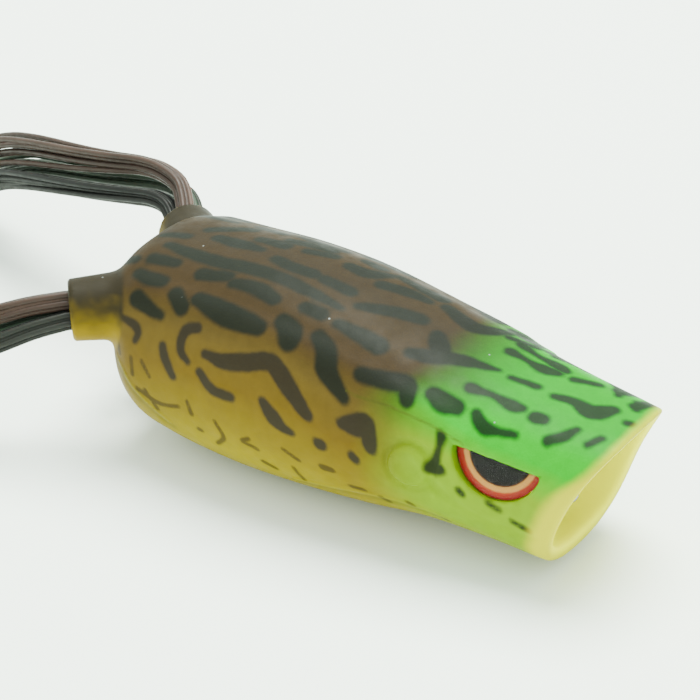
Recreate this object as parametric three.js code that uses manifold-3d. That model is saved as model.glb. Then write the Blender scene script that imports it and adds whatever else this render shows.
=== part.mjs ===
// Hollow soft-bodied popping frog, a topwater fishing lure.
// A soft shell with a cupped mouth floats over a double hook that runs from the nose to the rump.
// Two legs of rubber strands leave through short sockets at the rear corners.
// Millimetres. +X points to the mouth, +Z is up, and the belly rests on z = 0.
import * as THREE from 'three';
import { mergeVertices } from 'three/addons/utils/BufferGeometryUtils.js';
import Module from 'manifold-3d';

const wasm = await Module();
wasm.setup();

// ---------------------------------------------------------------- driving dimensions
const gap = 0.15;                 // clearance between pieces that touch
const wall = 1.6;                 // thickness of the soft shell
const rumpX = -3.2;               // rearmost point of the shell, before the frame is centred
const lipX = 60.2;                // foremost point of the upper lip
const rumpLength = 7.5;           // length over which the rump rounds off
const rumpPower = 2.5;            // bluntness of the rump at its sides and below, 2 is an ellipse
const rumpTopPower = 3.8;         // and at the top
const lowerLipX = 54.5;           // the lower lip, which stands upright
const lowerLipZ = 2.5;            // height above which the mouth leans forward
const lipSlope = 0.13;            // how far it leans for each millimetre above that
const lipCurve = 0.0182;          // and for each square millimetre
const cupDepth = 6.4;             // depth of the mouth cup behind its rim
const cupWall = 1.8;              // thickness of the lips
const cavityFrontX = 45.0;        // front end of the hollow, behind the cup
const wireRadius = 0.65;          // hook wire
const hookBendRadius = 4.2;
const hookSplay = 0.5;            // each bend leans this far outward, in radians
const hookRearX = -9.6;           // rearmost point of the hook
const shankZ = 7.0;               // height of the hook's two shank wires
const shankHalf = 0.7;            // each shank wire lies this far from the middle
const pivotX = 47.2;              // middle of the nose bushing, where the hook pivots
const bushingLength = 4.2;
const bushingRadius = 2.8;
const bushingBore = 1.85;
const tieRingRadius = 1.35;       // middle of the wire in the line-tie ring
const slotHalf = 1.9;             // half width of the belly slot at the shank
const slotFrontX = 7.5;
const keelHalf = 2.5;             // half width of the keel weight
const keelRearX = 12.5;
const keelFrontX = 23.0;
const keelBottomZ = 0.6;
const keelTopZ = 8.6;
const rattleRadius = 2.2;
const rattleBore = 1.6;
const rattleRearX = 27.5;
const rattleFrontX = 43.0;
const rattleBase = 0.9;           // thickness of the tube's closed end
const plugCap = 0.8;              // the plug stands this far out of the tube
const ballRadius = 1.35;
const ballCount = 3;
const socketRadius = 3.5;
const socketBaseRadius = 4.0;
const socketRound = 0.25;         // rounding of a socket's outer edge
const socketBoreRadius = 2.5;
const socketBoreLength = 8.3;     // from the socket's mouth to the wider chamber behind it
const chamberRadius = 3.3;
const chamberDepth = 13.5;        // inner end of the chamber, behind the mouth
const socketEnd = new THREE.Vector3(-5.4, 11.0, 16.9);
const socketAxis = new THREE.Vector3(-0.77, 0.64, -0.05).normalize();
const socketLength = 8.5;
const rootInnerEnd = 12.15;       // the gathered strands start this far behind the socket's mouth
const rootOuterEnd = 1.9;         // and stop this far behind it, so that the leg can swing
const tieInnerEnd = 9.9;          // the binding band starts this far behind the mouth
const tieThickness = 0.7;
const tieWidth = 1.4;
const bundleRadius = 1.0;         // one colour of leg strands, gathered
const bundleSpread = [1.3, 2.1, 2.5];   // distance from the leg's middle: in the socket, past it, at the end
const spreadPoints = 4;           // the leg opens out over this many points of its line
const eyeRadius = 5.0;
const eyeCentre = new THREE.Vector3(48.9, 8.3, 14.8);   // middle of the eye's straight upper edge
const eyeTilt = 0.27;             // the eye's face looks a little upward, in radians
const eyePitch = -0.09;           // its upper edge falls towards the mouth, in radians
const eyeCut = 0.7;               // the straight edge lies this far below the disc's middle
const eyeYaw = 0.11;              // the eye's face turns this far towards the mouth, in radians
const irisDepth = 0.75;           // back of the iris plate, below the eye's rim
const lensDepth = 0.15;           // front of the iris plate, below the lens
const recessDepth = 0.9;
const domeHeight = 0.75;
const domeEdge = 0.12;            // thickness of the lens at its edge
const frameX = (lipX + hookRearX) / 2;   // shifts the origin under the middle of the lure

// Stations of the shell: x, half width, height of the widest point, top, bottom,
// and the squareness of the upper and lower half, where 2 is an ellipse.
const stations = [
  [-8, 10.8, 13.0, 23.3, 2.8, 2.9, 2.1],
  [0, 11.4, 12.8, 23.8, 1.6, 2.8, 2.1],
  [8, 12.2, 12.4, 24.6, 0.2, 2.5, 2.1],
  [16, 12.8, 12.2, 25.1, -0.2, 2.4, 2.1],
  [24, 12.7, 11.8, 24.5, -0.2, 2.5, 2.0],
  [32, 12.1, 11.0, 23.0, -0.1, 2.7, 1.8],
  [40, 11.2, 10.1, 21.2, 0.9, 3.0, 1.75],
  [48, 10.1, 9.7, 19.6, 1.4, 3.3, 2.1],
  [56, 9.2, 9.4, 18.5, 1.6, 3.4, 2.7],
  [64, 8.4, 9.2, 17.7, 1.8, 3.4, 2.7],
];
const stationStep = 8;

// ---------------------------------------------------------------- shell formulas
// Catmull-Rom value of one column of the station table.
function station(x, column) {
  const place = (x - stations[0][0]) / stationStep;
  const index = Math.min(Math.max(Math.floor(place), 0), stations.length - 2);
  const t = place - index;
  const at = (i) => stations[Math.min(Math.max(i, 0), stations.length - 1)][column];
  const [a, b, c, d] = [at(index - 1), at(index), at(index + 1), at(index + 2)];
  return b + 0.5 * t * (c - a + t * (2 * a - 5 * b + 4 * c - d + t * (3 * (b - c) + d - a)));
}

// Point of the section at x. The angle runs round from +Y, and inset draws the wall inward.
function sectionPoint(x, angle, scale, inset) {
  const upper = Math.sin(angle) >= 0;
  const middle = station(x, 2);
  const halfHeight = upper ? station(x, 3) - middle : middle - station(x, 4);
  const power = 2 / station(x, upper ? 5 : 6);
  const across = Math.abs(Math.cos(angle)) ** power * Math.sign(Math.cos(angle));
  const along = Math.abs(Math.sin(angle)) ** power * Math.sign(Math.sin(angle));
  const y = (station(x, 1) - inset) * across * scale;
  const z = middle + (halfHeight - inset) * along * scale;
  return new THREE.Vector3(x, y, z);
}

// Rounds off an end of the loft that stops at endX over the given length.
function roundOff(x, endX, length, power) {
  const u = Math.min(Math.abs(x - endX - length) / Math.abs(length), 1);
  return (x - endX - length) * Math.sign(length) >= 0 ? 1 : (1 - u ** power) ** (1 / power);
}

// Rounds off the rump, which is blunter towards the top of its section.
function rumpScale(x, angle, endX) {
  const rise = Math.max(Math.sin(angle), 0);
  const power = rumpPower + (rumpTopPower - rumpPower) * rise;
  return roundOff(x, endX, rumpLength, power);
}

// Front limit of the shell at height z: the upper lip overhangs the lower one.
function mouthX(z) {
  const rise = Math.max(z - lowerLipZ, 0);
  return lowerLipX + lipSlope * rise + lipCurve * rise * rise;
}

// ---------------------------------------------------------------- solids
function solidFrom(geometry) {
  const bare = geometry.index ? geometry.clone() : geometry;
  bare.deleteAttribute('normal');
  bare.deleteAttribute('uv');
  const merged = mergeVertices(bare, 1e-5);
  const mesh = new wasm.Mesh({
    numProp: 3,
    vertProperties: new Float32Array(merged.attributes.position.array),
    triVerts: new Uint32Array(merged.index.array),
  });
  return new wasm.Manifold(mesh);
}

function geometryFrom(solid) {
  const mesh = solid.getMesh();
  const geometry = new THREE.BufferGeometry();
  geometry.setAttribute('position', new THREE.BufferAttribute(mesh.vertProperties, 3));
  geometry.setIndex(new THREE.BufferAttribute(mesh.triVerts, 1));
  geometry.computeVertexNormals();
  return geometry;
}

// Closed skin through rings of equal point count, with a point at each end.
function skin(rings, first, last) {
  const positions = [];
  const index = [];
  const count = rings[0].length;
  for (const ring of rings) {
    for (const p of ring) {
      positions.push(p.x, p.y, p.z);
    }
  }
  positions.push(first.x, first.y, first.z, last.x, last.y, last.z);
  const firstIndex = rings.length * count;
  for (let i = 0; i < count; i += 1) {
    const j = (i + 1) % count;
    index.push(firstIndex, j, i);
    index.push(firstIndex + 1, (rings.length - 1) * count + i, (rings.length - 1) * count + j);
    for (let r = 0; r < rings.length - 1; r += 1) {
      const a = r * count;
      const b = a + count;
      index.push(a + i, a + j, b + i, a + j, b + j, b + i);
    }
  }
  const geometry = new THREE.BufferGeometry();
  geometry.setAttribute('position', new THREE.Float32BufferAttribute(positions, 3));
  geometry.setIndex(index);
  return geometry;
}

// Loft along X through the given stations, drawn inward by inset.
function loft(xs, around, inset, scaleAt) {
  const rings = xs.map((x) => {
    const ring = [];
    for (let i = 0; i < around; i += 1) {
      const angle = (i + 0.5) / around * Math.PI * 2;
      ring.push(sectionPoint(x, angle, scaleAt(x, angle), inset));
    }
    return ring;
  });
  const tip = (x) => new THREE.Vector3(x, 0, station(x, 2));
  return skin(rings, tip(xs[0]), tip(xs[xs.length - 1]));
}

function steps(from, to, count) {
  return Array.from({ length: count + 1 }, (_, i) => from + (to - from) * i / count);
}

// Stations that crowd towards the rounded end.
function roundedSteps(endX, length, count) {
  return steps(0.1, 1, count).map((t) => endX + length * (1 - Math.cos(t * Math.PI / 2)));
}

// Turns a geometry built along +Z so that it points along a direction from a point.
function aimed(geometry, origin, direction) {
  const turn = new THREE.Quaternion().setFromUnitVectors(new THREE.Vector3(0, 0, 1), direction);
  geometry.applyQuaternion(turn);
  return geometry.translate(origin.x, origin.y, origin.z);
}

// Solid of revolution about +Z from [radius, height] pairs, closed on the axis.
function turned(profile, segments) {
  const points = profile.map(([r, z]) => new THREE.Vector2(r, z));
  return new THREE.LatheGeometry(points, segments).rotateX(Math.PI / 2);
}

function tube(points, radius, sides, perSegment) {
  const shape = new THREE.Shape();
  shape.absarc(0, 0, radius, 0, Math.PI * 2, false);
  const path = new THREE.CatmullRomCurve3(points, false, 'centripetal');
  return new THREE.ExtrudeGeometry(shape, {
    steps: (points.length - 1) * perSegment,
    curveSegments: sides / 2,
    extrudePath: path,
  });
}

function mirrored(vector, side) {
  return new THREE.Vector3(vector.x, vector.y * side, vector.z);
}

// Block that fills everything in front of the mouth surface moved back by setBack.
function mouthBlock(setBack) {
  const outline = new THREE.Shape();
  const [low, high, front] = [-6, 30, 80];
  outline.moveTo(front, low);
  outline.lineTo(front, high);
  for (const z of [high, ...steps(20, 0, 14), low]) {
    outline.lineTo(mouthX(Math.min(z, 20)) - setBack, z);
  }
  const block = new THREE.ExtrudeGeometry(outline, { depth: 60, bevelEnabled: false });
  return solidFrom(block.rotateX(Math.PI / 2).translate(0, 30, 0));
}

// Straight block with its sides along the axes.
function block(x0, x1, halfY, z0, z1) {
  const box = new THREE.BoxGeometry(x1 - x0, halfY * 2, z1 - z0);
  return solidFrom(box.translate((x0 + x1) / 2, 0, (z0 + z1) / 2));
}

function rodAlongX(x0, x1, z, radius, sides) {
  const rod = turned([[0, 0], [radius, 0], [radius, x1 - x0], [0, x1 - x0]], sides);
  return aimed(rod, new THREE.Vector3(x0, 0, z), new THREE.Vector3(1, 0, 0));
}

// ---------------------------------------------------------------- eyes
// Outline of the half-lidded eye: a disc cut straight across a little below its middle.
function eyeOutline(grow) {
  const radius = eyeRadius + grow;
  const start = Math.asin((grow - eyeCut) / radius);
  const outline = new THREE.Shape();
  outline.absarc(0, eyeCut, radius, Math.PI - start, Math.PI * 2 + start, false);
  outline.closePath();
  return outline;
}

function eyePlate(side, grow, from, to) {
  const plate = new THREE.ExtrudeGeometry(eyeOutline(grow), {
    depth: to - from, bevelEnabled: false, curveSegments: 16,
  });
  return placeEye(plate.translate(0, 0, from), side);
}

function placeEye(geometry, side) {
  const along = new THREE.Vector3(Math.cos(eyePitch), 0, Math.sin(eyePitch));
  const out = new THREE.Vector3(
    Math.sin(eyeYaw), side * Math.cos(eyeTilt), Math.sin(eyeTilt)).normalize();
  const across = along.clone().addScaledVector(out, -along.dot(out)).normalize().multiplyScalar(-side);
  const up = out.clone().cross(across).normalize();
  const face = across.clone().cross(up);
  const matrix = new THREE.Matrix4().makeBasis(across, up, face);
  return geometry.applyMatrix4(matrix.setPosition(mirrored(eyeCentre, side)));
}

function eyeIris(side) {
  return eyePlate(side, 0, -irisDepth, -lensDepth);
}

function eyeLens(side) {
  const rise = domeHeight - domeEdge;
  const ball = (eyeRadius ** 2 + rise ** 2) / (2 * rise);
  const sphere = new THREE.SphereGeometry(ball, 48, 60);
  sphere.rotateX(Math.PI / 2).translate(0, eyeCut, domeHeight - ball);
  const plate = eyePlate(side, 0, 0, domeHeight * 2);
  return geometryFrom(solidFrom(placeEye(sphere, side)).intersect(solidFrom(plate)));
}

// ---------------------------------------------------------------- shell
// Places a geometry built along +Z on a socket's axis, starting this far behind its mouth.
function alongSocket(geometry, side, depth) {
  const axis = mirrored(socketAxis, side);
  return aimed(geometry, mirrored(socketEnd, side).addScaledVector(axis, -depth), axis);
}

function socketPost(side) {
  const post = turned([
    [0, 0], [socketBaseRadius, 0], [socketRadius, socketLength - socketRound],
    [socketRadius - socketRound, socketLength], [0, socketLength],
  ], 36);
  return solidFrom(alongSocket(post, side, socketLength));
}

// Bore of a socket, with a wider chamber at its inner end for the binding band.
function socketBore(side) {
  const step = chamberDepth - socketBoreLength;
  const bore = turned([
    [0, 0], [chamberRadius, 0], [chamberRadius, step], [socketBoreRadius, step],
    [socketBoreRadius, chamberDepth + 1], [0, chamberDepth + 1],
  ], 28);
  return solidFrom(alongSocket(bore, side, chamberDepth));
}

function outerSkin() {
  const xs = [...roundedSteps(rumpX, rumpLength, 7), ...steps(9, 63, 18)];
  return solidFrom(loft(xs, 40, 0, (x, angle) => rumpScale(x, angle, rumpX)));
}

function hollow() {
  const rear = rumpX + wall;
  const xs = [
    ...roundedSteps(rear, rumpLength, 5), ...steps(10, 38, 6),
    ...roundedSteps(cavityFrontX, -5, 5).reverse(),
  ];
  const scaleAt = (x, angle) => Math.min(
    rumpScale(x, angle, rear), roundOff(x, cavityFrontX, -5, 2.4));
  return solidFrom(loft(xs, 24, wall, scaleAt));
}

function mouthCup() {
  const cup = solidFrom(loft(steps(44, 66, 8), 28, cupWall, () => 1));
  return cup.intersect(mouthBlock(cupDepth));
}

function bodyShell() {
  let shell = outerSkin().subtract(mouthBlock(0));
  for (const side of [1, -1]) {
    shell = shell.add(socketPost(side));
  }
  shell = shell.subtract(hollow()).subtract(mouthCup());
  for (const side of [1, -1]) {
    shell = shell.subtract(socketBore(side));
    shell = shell.subtract(solidFrom(eyePlate(side, gap, -recessDepth, 6)));
  }
  const noseRadius = bushingRadius + gap;
  shell = shell.subtract(solidFrom(rodAlongX(cavityFrontX - 5, 52, shankZ, noseRadius, 28)));
  shell = shell.subtract(block(-12, slotFrontX, slotHalf, -2, shankZ + 1.2));
  shell = shell.subtract(block(keelRearX - 0.6, keelFrontX + 1.6, keelHalf + 0.4, -2, 4));
  shell = shell.subtract(block(-20, 80, 40, -4, 0));
  return geometryFrom(shell);
}

// ---------------------------------------------------------------- hook and what it carries
// One wire: right point, bend, shank, line-tie ring, and back to the left point.
function hookPath() {
  const bendX = hookRearX + hookBendRadius + wireRadius;
  const half = [];
  const lean = (distance) => [shankHalf + distance * Math.sin(hookSplay),
    shankZ + distance * Math.cos(hookSplay)];
  half.push([bendX + 0.3, ...lean(2 * hookBendRadius + 0.1)]);
  for (const angle of steps(Math.PI / 2, Math.PI * 1.5, 8)) {
    const distance = hookBendRadius * (1 + Math.sin(angle));
    half.push([bendX + hookBendRadius * Math.cos(angle), ...lean(distance)]);
  }
  half.push([bendX + 2, shankHalf, shankZ], [10, shankHalf, shankZ], [30, shankHalf, shankZ]);
  half.push([pivotX + 1, shankHalf, shankZ]);
  const ringX = pivotX + bushingLength / 2 + tieRingRadius + 1.0;
  const ring = steps(Math.PI * 0.8, 0, 4).map((angle) => [
    ringX + tieRingRadius * Math.cos(angle), tieRingRadius * Math.sin(angle), shankZ]);
  half.push(...ring);
  const left = half.map((p) => new THREE.Vector3(...p));
  const right = left.slice(0, -1).map((p) => mirrored(p, -1)).reverse();
  return [...left, ...right];
}

function doubleHook() {
  const path = hookPath();
  let hook = solidFrom(tube(path, wireRadius, 8, 3));
  for (const [tip, next] of [[path[0], path[1]], [path.at(-1), path.at(-2)]]) {
    const direction = tip.clone().sub(next).normalize();
    const cone = turned([[0, 0], [wireRadius, 0], [wireRadius * 0.95, 0.3], [0, 1.3]], 10);
    const start = tip.clone().addScaledVector(direction, -0.3);
    hook = hook.add(solidFrom(aimed(cone, start, direction)));
  }
  return geometryFrom(hook);
}

function shankChannel(x0, x1) {
  const r = wireRadius + gap;
  return block(x0, x1, shankHalf + r, shankZ - r, shankZ + r);
}

// Keel weight: a rounded bar under the shank that fills the belly opening.
function keelWeight() {
  const outline = new THREE.Shape();
  const round = 1.6;
  outline.moveTo(-keelHalf, keelTopZ - round);
  outline.absarc(-keelHalf + round, keelTopZ - round, round, Math.PI, Math.PI / 2, true);
  outline.absarc(keelHalf - round, keelTopZ - round, round, Math.PI / 2, 0, true);
  outline.absarc(0, keelBottomZ + keelHalf, keelHalf, 0, Math.PI, true);
  outline.closePath();
  const bar = new THREE.ExtrudeGeometry(outline, {
    depth: keelFrontX - keelRearX - 1.2, bevelThickness: 0.6, bevelSize: 0.6, bevelOffset: -0.6,
    bevelSegments: 2, curveSegments: 6,
  });
  bar.rotateX(Math.PI / 2).rotateZ(Math.PI / 2).translate(keelRearX + 0.6, 0, 0);
  return geometryFrom(solidFrom(bar).subtract(shankChannel(keelRearX - 2, keelFrontX + 2)));
}

function noseBushing() {
  const [x0, x1] = [pivotX - bushingLength / 2, pivotX + bushingLength / 2];
  const sleeve = solidFrom(rodAlongX(x0, x1, shankZ, bushingRadius, 28));
  const bore = solidFrom(rodAlongX(x0 - 1, x1 + 1, shankZ, bushingBore, 24));
  return geometryFrom(sleeve.subtract(bore));
}

// Rattle: a tube on top of the shank, closed by a plug at its front, with balls that roll inside.
const rattleZ = shankZ + wireRadius + gap + rattleRadius;

// Places a geometry built along +Z on the rattle's axis.
function onRattleAxis(geometry, x) {
  return aimed(geometry, new THREE.Vector3(x, 0, rattleZ), new THREE.Vector3(1, 0, 0));
}

function rattleTube() {
  const length = rattleFrontX - rattleRearX - plugCap;
  const profile = [[0, 0], [rattleRadius - 0.5, 0], [rattleRadius, 0.5], [rattleRadius, length],
    [rattleBore, length], [rattleBore, rattleBase], [0, rattleBase]];
  return onRattleAxis(turned(profile, 28), rattleRearX);
}

function rattlePlug() {
  const bore = rattleBore - gap;
  const profile = [[0, -1.6], [bore, -1.6], [bore, 0], [rattleRadius, 0], [rattleRadius, 0.5],
    [0, plugCap]];
  return onRattleAxis(turned(profile, 28), rattleFrontX - plugCap + gap);
}

function rattleBall(number) {
  const x = rattleRearX + rattleBase + 0.2 + ballRadius + number * (2 * ballRadius + gap);
  const z = rattleZ - (rattleBore - ballRadius) + 0.08;
  return new THREE.SphereGeometry(ballRadius, 12, 8).rotateX(Math.PI / 2).translate(x, 0, z);
}

// Rubber band that ties the rattle down onto the shank.
function rattleBand(x) {
  const inner = rattleRadius + gap;
  const thick = 0.5;
  const band = (radius) => {
    const outline = new THREE.Shape();
    const low = shankZ - wireRadius - gap;
    outline.absarc(0, rattleZ, radius, 0, Math.PI, false);
    outline.lineTo(-shankHalf - wireRadius - gap - (radius - inner), low - (radius - inner));
    outline.lineTo(shankHalf + wireRadius + gap + (radius - inner), low - (radius - inner));
    outline.closePath();
    return outline;
  };
  const outline = band(inner + thick);
  outline.holes.push(new THREE.Path(band(inner).getPoints(12)));
  const ring = new THREE.ExtrudeGeometry(outline, {
    depth: 1.4, bevelEnabled: false, curveSegments: 12,
  });
  return ring.rotateX(Math.PI / 2).rotateZ(Math.PI / 2).translate(x, 0, 0);
}

// ---------------------------------------------------------------- legs
// Gathered strands that fill the socket, with a flared head inside that can't pull out.
function legRoot(side) {
  const radius = socketBoreRadius - gap;
  const neck = radius - 0.3;
  const length = rootInnerEnd - rootOuterEnd;
  const profile = [[0, 0], [2.6, 0], [2.9, 0.5], [2.9, 1.3], [neck, 2.2], [neck, 4.6],
    [radius, 5.2], [radius, length], [0, length]];
  return alongSocket(turned(profile, 24), side, rootInnerEnd);
}

// Binding band round the gathered strands, just inside the shell.
function legTie(side) {
  const inner = socketBoreRadius - 0.3;
  const outer = inner + tieThickness;
  const profile = [[inner, 0], [outer, 0], [outer, tieWidth], [inner, tieWidth], [inner, 0]];
  return alongSocket(turned(profile, 24), side, tieInnerEnd);
}

// Middle line of each leg, from its socket's mouth down to the surface that the lure lies on.
const legLines = {
  right: [
    [-5.9, -11.3, 16.9], [-8.8, -13.7, 16.2], [-12.0, -16.1, 14.9], [-15.4, -18.2, 13.5],
    [-19.0, -19.9, 12.0], [-22.7, -21.2, 10.5], [-26.4, -22.3, 9.0], [-30.0, -23.2, 7.7],
    [-33.7, -23.9, 6.6], [-37.5, -24.5, 5.6], [-41.4, -25.0, 4.8], [-45.4, -25.4, 4.2],
    [-49.4, -25.7, 3.8], [-53.4, -25.9, 3.6], [-57.4, -26.0, 3.6], [-61.4, -26.0, 3.6],
  ],
  left: [
    [-6.2, 11.6, 17.1], [-7.7, 13.3, 18.0], [-9.5, 14.6, 18.8], [-12.1, 15.3, 19.0],
    [-15.0, 15.7, 18.6], [-18.8, 15.9, 17.8], [-22.7, 16.3, 16.9], [-26.5, 16.9, 16.0],
    [-30.3, 17.6, 15.1], [-34.0, 18.4, 14.1], [-37.6, 19.2, 12.9], [-41.1, 19.9, 11.3],
    [-44.6, 20.5, 9.4], [-48.1, 21.0, 7.4], [-51.7, 21.4, 5.7], [-55.5, 21.7, 4.5],
    [-59.4, 21.9, 3.8],
  ],
};

// One colour's strands, gathered: it runs beside the leg's middle, at an angle from the top.
function legBundle(name, turn) {
  const line = legLines[name].map((p) => new THREE.Vector3(...p));
  const points = line.map((p, i) => {
    const ahead = line[Math.min(i + 1, line.length - 1)].clone();
    const along = ahead.sub(line[Math.max(i - 1, 0)]).normalize();
    const aside = along.clone().cross(new THREE.Vector3(0, 0, 1)).normalize();
    const up = aside.clone().cross(along);
    const opened = Math.min(i / spreadPoints, 1);
    const spread = THREE.MathUtils.lerp(bundleSpread[0], bundleSpread[1], opened)
      + (bundleSpread[2] - bundleSpread[1]) * i / (line.length - 1);
    return p.clone()
      .addScaledVector(up, spread * Math.cos(turn))
      .addScaledVector(aside, spread * Math.sin(turn));
  });
  return tube(points, bundleRadius, 8, 1);
}

// ---------------------------------------------------------------- assembly
const looks = {
  shell: { color: 0xb7a13a, roughness: 0.55, metalness: 0 },
  iris: { color: 0xb83a28, roughness: 0.4, metalness: 0.1 },
  lens: { color: 0xf4f4f0, roughness: 0.05, metalness: 0, transparent: true, opacity: 0.35 },
  steel: { color: 0x3a3a3e, roughness: 0.25, metalness: 1 },
  lead: { color: 0x7c7e82, roughness: 0.6, metalness: 0.8 },
  bushing: { color: 0xd9cf9a, roughness: 0.5, metalness: 0 },
  rattle: { color: 0xc8ccd0, roughness: 0.15, metalness: 0 },
  ball: { color: 0xbfc2c6, roughness: 0.15, metalness: 1 },
  band: { color: 0x222222, roughness: 0.8, metalness: 0 },
  brown: { color: 0x69503f, roughness: 0.55, metalness: 0 },
  green: { color: 0x3c5046, roughness: 0.55, metalness: 0 },
  black: { color: 0x26251f, roughness: 0.55, metalness: 0 },
};

const popper = new THREE.Group();
popper.position.x = -frameX;

function piece(name, geometry, look) {
  const mesh = new THREE.Mesh(geometry, new THREE.MeshStandardMaterial(looks[look]));
  mesh.name = name;
  popper.add(mesh);
}

piece('body_shell', bodyShell(), 'shell');
piece('double_hook', doubleHook(), 'steel');
piece('keel_weight', keelWeight(), 'lead');
piece('nose_bushing', noseBushing(), 'bushing');
piece('rattle_tube', rattleTube(), 'rattle');
piece('rattle_plug', rattlePlug(), 'rattle');
piece('rattle_band_rear', rattleBand(rattleRearX + 2.2), 'band');
piece('rattle_band_front', rattleBand(rattleFrontX - 4.6), 'band');
for (let number = 0; number < ballCount; number += 1) {
  piece(`rattle_ball_${number + 1}`, rattleBall(number), 'ball');
}
for (const [name, side] of [['right', -1], ['left', 1]]) {
  piece(`eye_iris_${name}`, eyeIris(side), 'iris');
  piece(`eye_lens_${name}`, eyeLens(side), 'lens');
  piece(`leg_root_${name}`, legRoot(side), 'brown');
  piece(`leg_tie_${name}`, legTie(side), 'band');
  for (const [index, colour] of ['brown', 'green', 'black'].entries()) {
    const turn = index * Math.PI * 2 / 3;
    piece(`leg_${colour}_${name}`, legBundle(name, turn), colour);
  }
}

export default popper;
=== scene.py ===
"""Hollow soft-bodied popping frog, a topwater fishing lure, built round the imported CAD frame.

Shapes are worked out in the lure's own millimetres, with x = 0 near the rump and z = 0 under the
belly, and placed in the frame by to_frame().
"""
import itertools
import math

import bpy
import numpy as np
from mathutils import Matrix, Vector


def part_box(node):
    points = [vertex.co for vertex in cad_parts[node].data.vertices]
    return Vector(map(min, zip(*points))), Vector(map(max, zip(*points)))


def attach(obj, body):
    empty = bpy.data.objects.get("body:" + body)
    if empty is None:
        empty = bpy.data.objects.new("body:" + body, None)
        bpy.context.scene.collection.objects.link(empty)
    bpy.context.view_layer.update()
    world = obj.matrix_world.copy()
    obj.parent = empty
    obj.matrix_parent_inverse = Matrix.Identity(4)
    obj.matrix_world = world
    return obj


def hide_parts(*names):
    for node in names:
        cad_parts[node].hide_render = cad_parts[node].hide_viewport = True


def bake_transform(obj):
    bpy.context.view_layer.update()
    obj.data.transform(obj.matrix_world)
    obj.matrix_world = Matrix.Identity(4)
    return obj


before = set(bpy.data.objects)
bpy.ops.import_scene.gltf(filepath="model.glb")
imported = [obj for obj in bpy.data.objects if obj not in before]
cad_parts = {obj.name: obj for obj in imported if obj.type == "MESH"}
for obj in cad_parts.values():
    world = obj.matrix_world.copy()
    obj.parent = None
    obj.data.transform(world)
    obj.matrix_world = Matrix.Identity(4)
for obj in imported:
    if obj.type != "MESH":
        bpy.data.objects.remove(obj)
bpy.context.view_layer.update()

MM = 0.001
LIP_X = 60.2                                   # foremost point of the upper lip, in the lure's own mm
FRAME_X = LIP_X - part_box("body_shell")[1].x / MM   # where the frame's origin lies along the lure


def to_frame(points):
    """The lure's own millimetres to metres in the frame."""
    points = np.asarray(points, float)
    return (points - np.array([FRAME_X, 0.0, 0.0])) * MM


def smoothstep(low, high, value):
    t = np.clip((value - low) / (high - low), 0.0, 1.0)
    return t * t * (3.0 - 2.0 * t)


def unit(vector):
    return np.asarray(vector, float) / np.linalg.norm(vector)


# ------------------------------------------------------------------ camera
VIEW_AZIMUTH = math.radians(33.0)
VIEW_ELEVATION = math.radians(32.0)
VIEW_DISTANCE = 0.330
VIEW_WIDTH = 0.0769                            # what the frame spans at the lure, in metres
VIEW_CENTRE = Vector((0.0047, 0.0, 0.0100))
VIEW_SHIFT = (-0.051, 0.084)                   # the picture is cropped off its middle by this much


def make_camera():
    data = bpy.data.cameras.new("camera")
    data.sensor_width = 36.0
    data.lens = data.sensor_width * VIEW_DISTANCE / VIEW_WIDTH
    data.clip_start = 0.01
    data.shift_x, data.shift_y = VIEW_SHIFT
    camera = bpy.data.objects.new("camera", data)
    bpy.context.scene.collection.objects.link(camera)
    back = Vector((
        math.sin(VIEW_AZIMUTH) * math.cos(VIEW_ELEVATION),
        -math.cos(VIEW_AZIMUTH) * math.cos(VIEW_ELEVATION),
        math.sin(VIEW_ELEVATION),
    ))
    camera.location = VIEW_CENTRE + back * VIEW_DISTANCE
    camera.rotation_euler = back.to_track_quat("Z", "Y").to_euler()
    bpy.context.scene.camera = camera


# ------------------------------------------------------------------ mesh helpers
def mesh_object(name, vertices, faces, smooth=True):
    mesh = bpy.data.meshes.new(name)
    mesh.from_pydata([tuple(v) for v in vertices], [], [tuple(map(int, f)) for f in faces])
    mesh.validate()
    mesh.update()
    if smooth:
        mesh.polygons.foreach_set("use_smooth", [True] * len(mesh.polygons))
    piece = bpy.data.objects.new(name, mesh)
    bpy.context.scene.collection.objects.link(piece)
    return piece


def add_attribute(mesh, name, values):
    attribute = mesh.attributes.new(name, "FLOAT", "POINT")
    attribute.data.foreach_set("value", np.asarray(values, np.float32))


def ring_faces(rows, count, closed=False):
    """Quads between rows of points, each of which goes round and closes on itself."""
    faces = []
    for row in range(rows if closed else rows - 1):
        a, b = row * count, (row + 1) % rows * count
        for i in range(count):
            j = (i + 1) % count
            faces.append([a + i, a + j, b + j, b + i])
    return faces


def join_parts(parts):
    """Several (vertices, faces) as one."""
    vertices, faces, offset = [], [], 0
    for part_vertices, part_faces in parts:
        vertices.append(part_vertices)
        faces.extend([[i + offset for i in face] for face in part_faces])
        offset += len(part_vertices)
    return np.concatenate(vertices), faces


def catmull_rom(points, per_segment):
    """Points of the curve through the given points."""
    points = np.asarray(points, float)
    padded = np.vstack([2 * points[0] - points[1], points, 2 * points[-1] - points[-2]])
    found = []
    for i in range(len(points) - 1):
        a, b, c, d = padded[i:i + 4]
        for t in np.arange(per_segment) / per_segment:
            found.append(b + 0.5 * t * (c - a + t * (2 * a - 5 * b + 4 * c - d
                                                     + t * (3 * (b - c) + d - a))))
    found.append(points[-1])
    return np.array(found)


def distance_along(path):
    """How far along a path each of its points lies."""
    return np.concatenate([[0], np.cumsum(np.linalg.norm(np.diff(path, axis=0), axis=1))])


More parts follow.
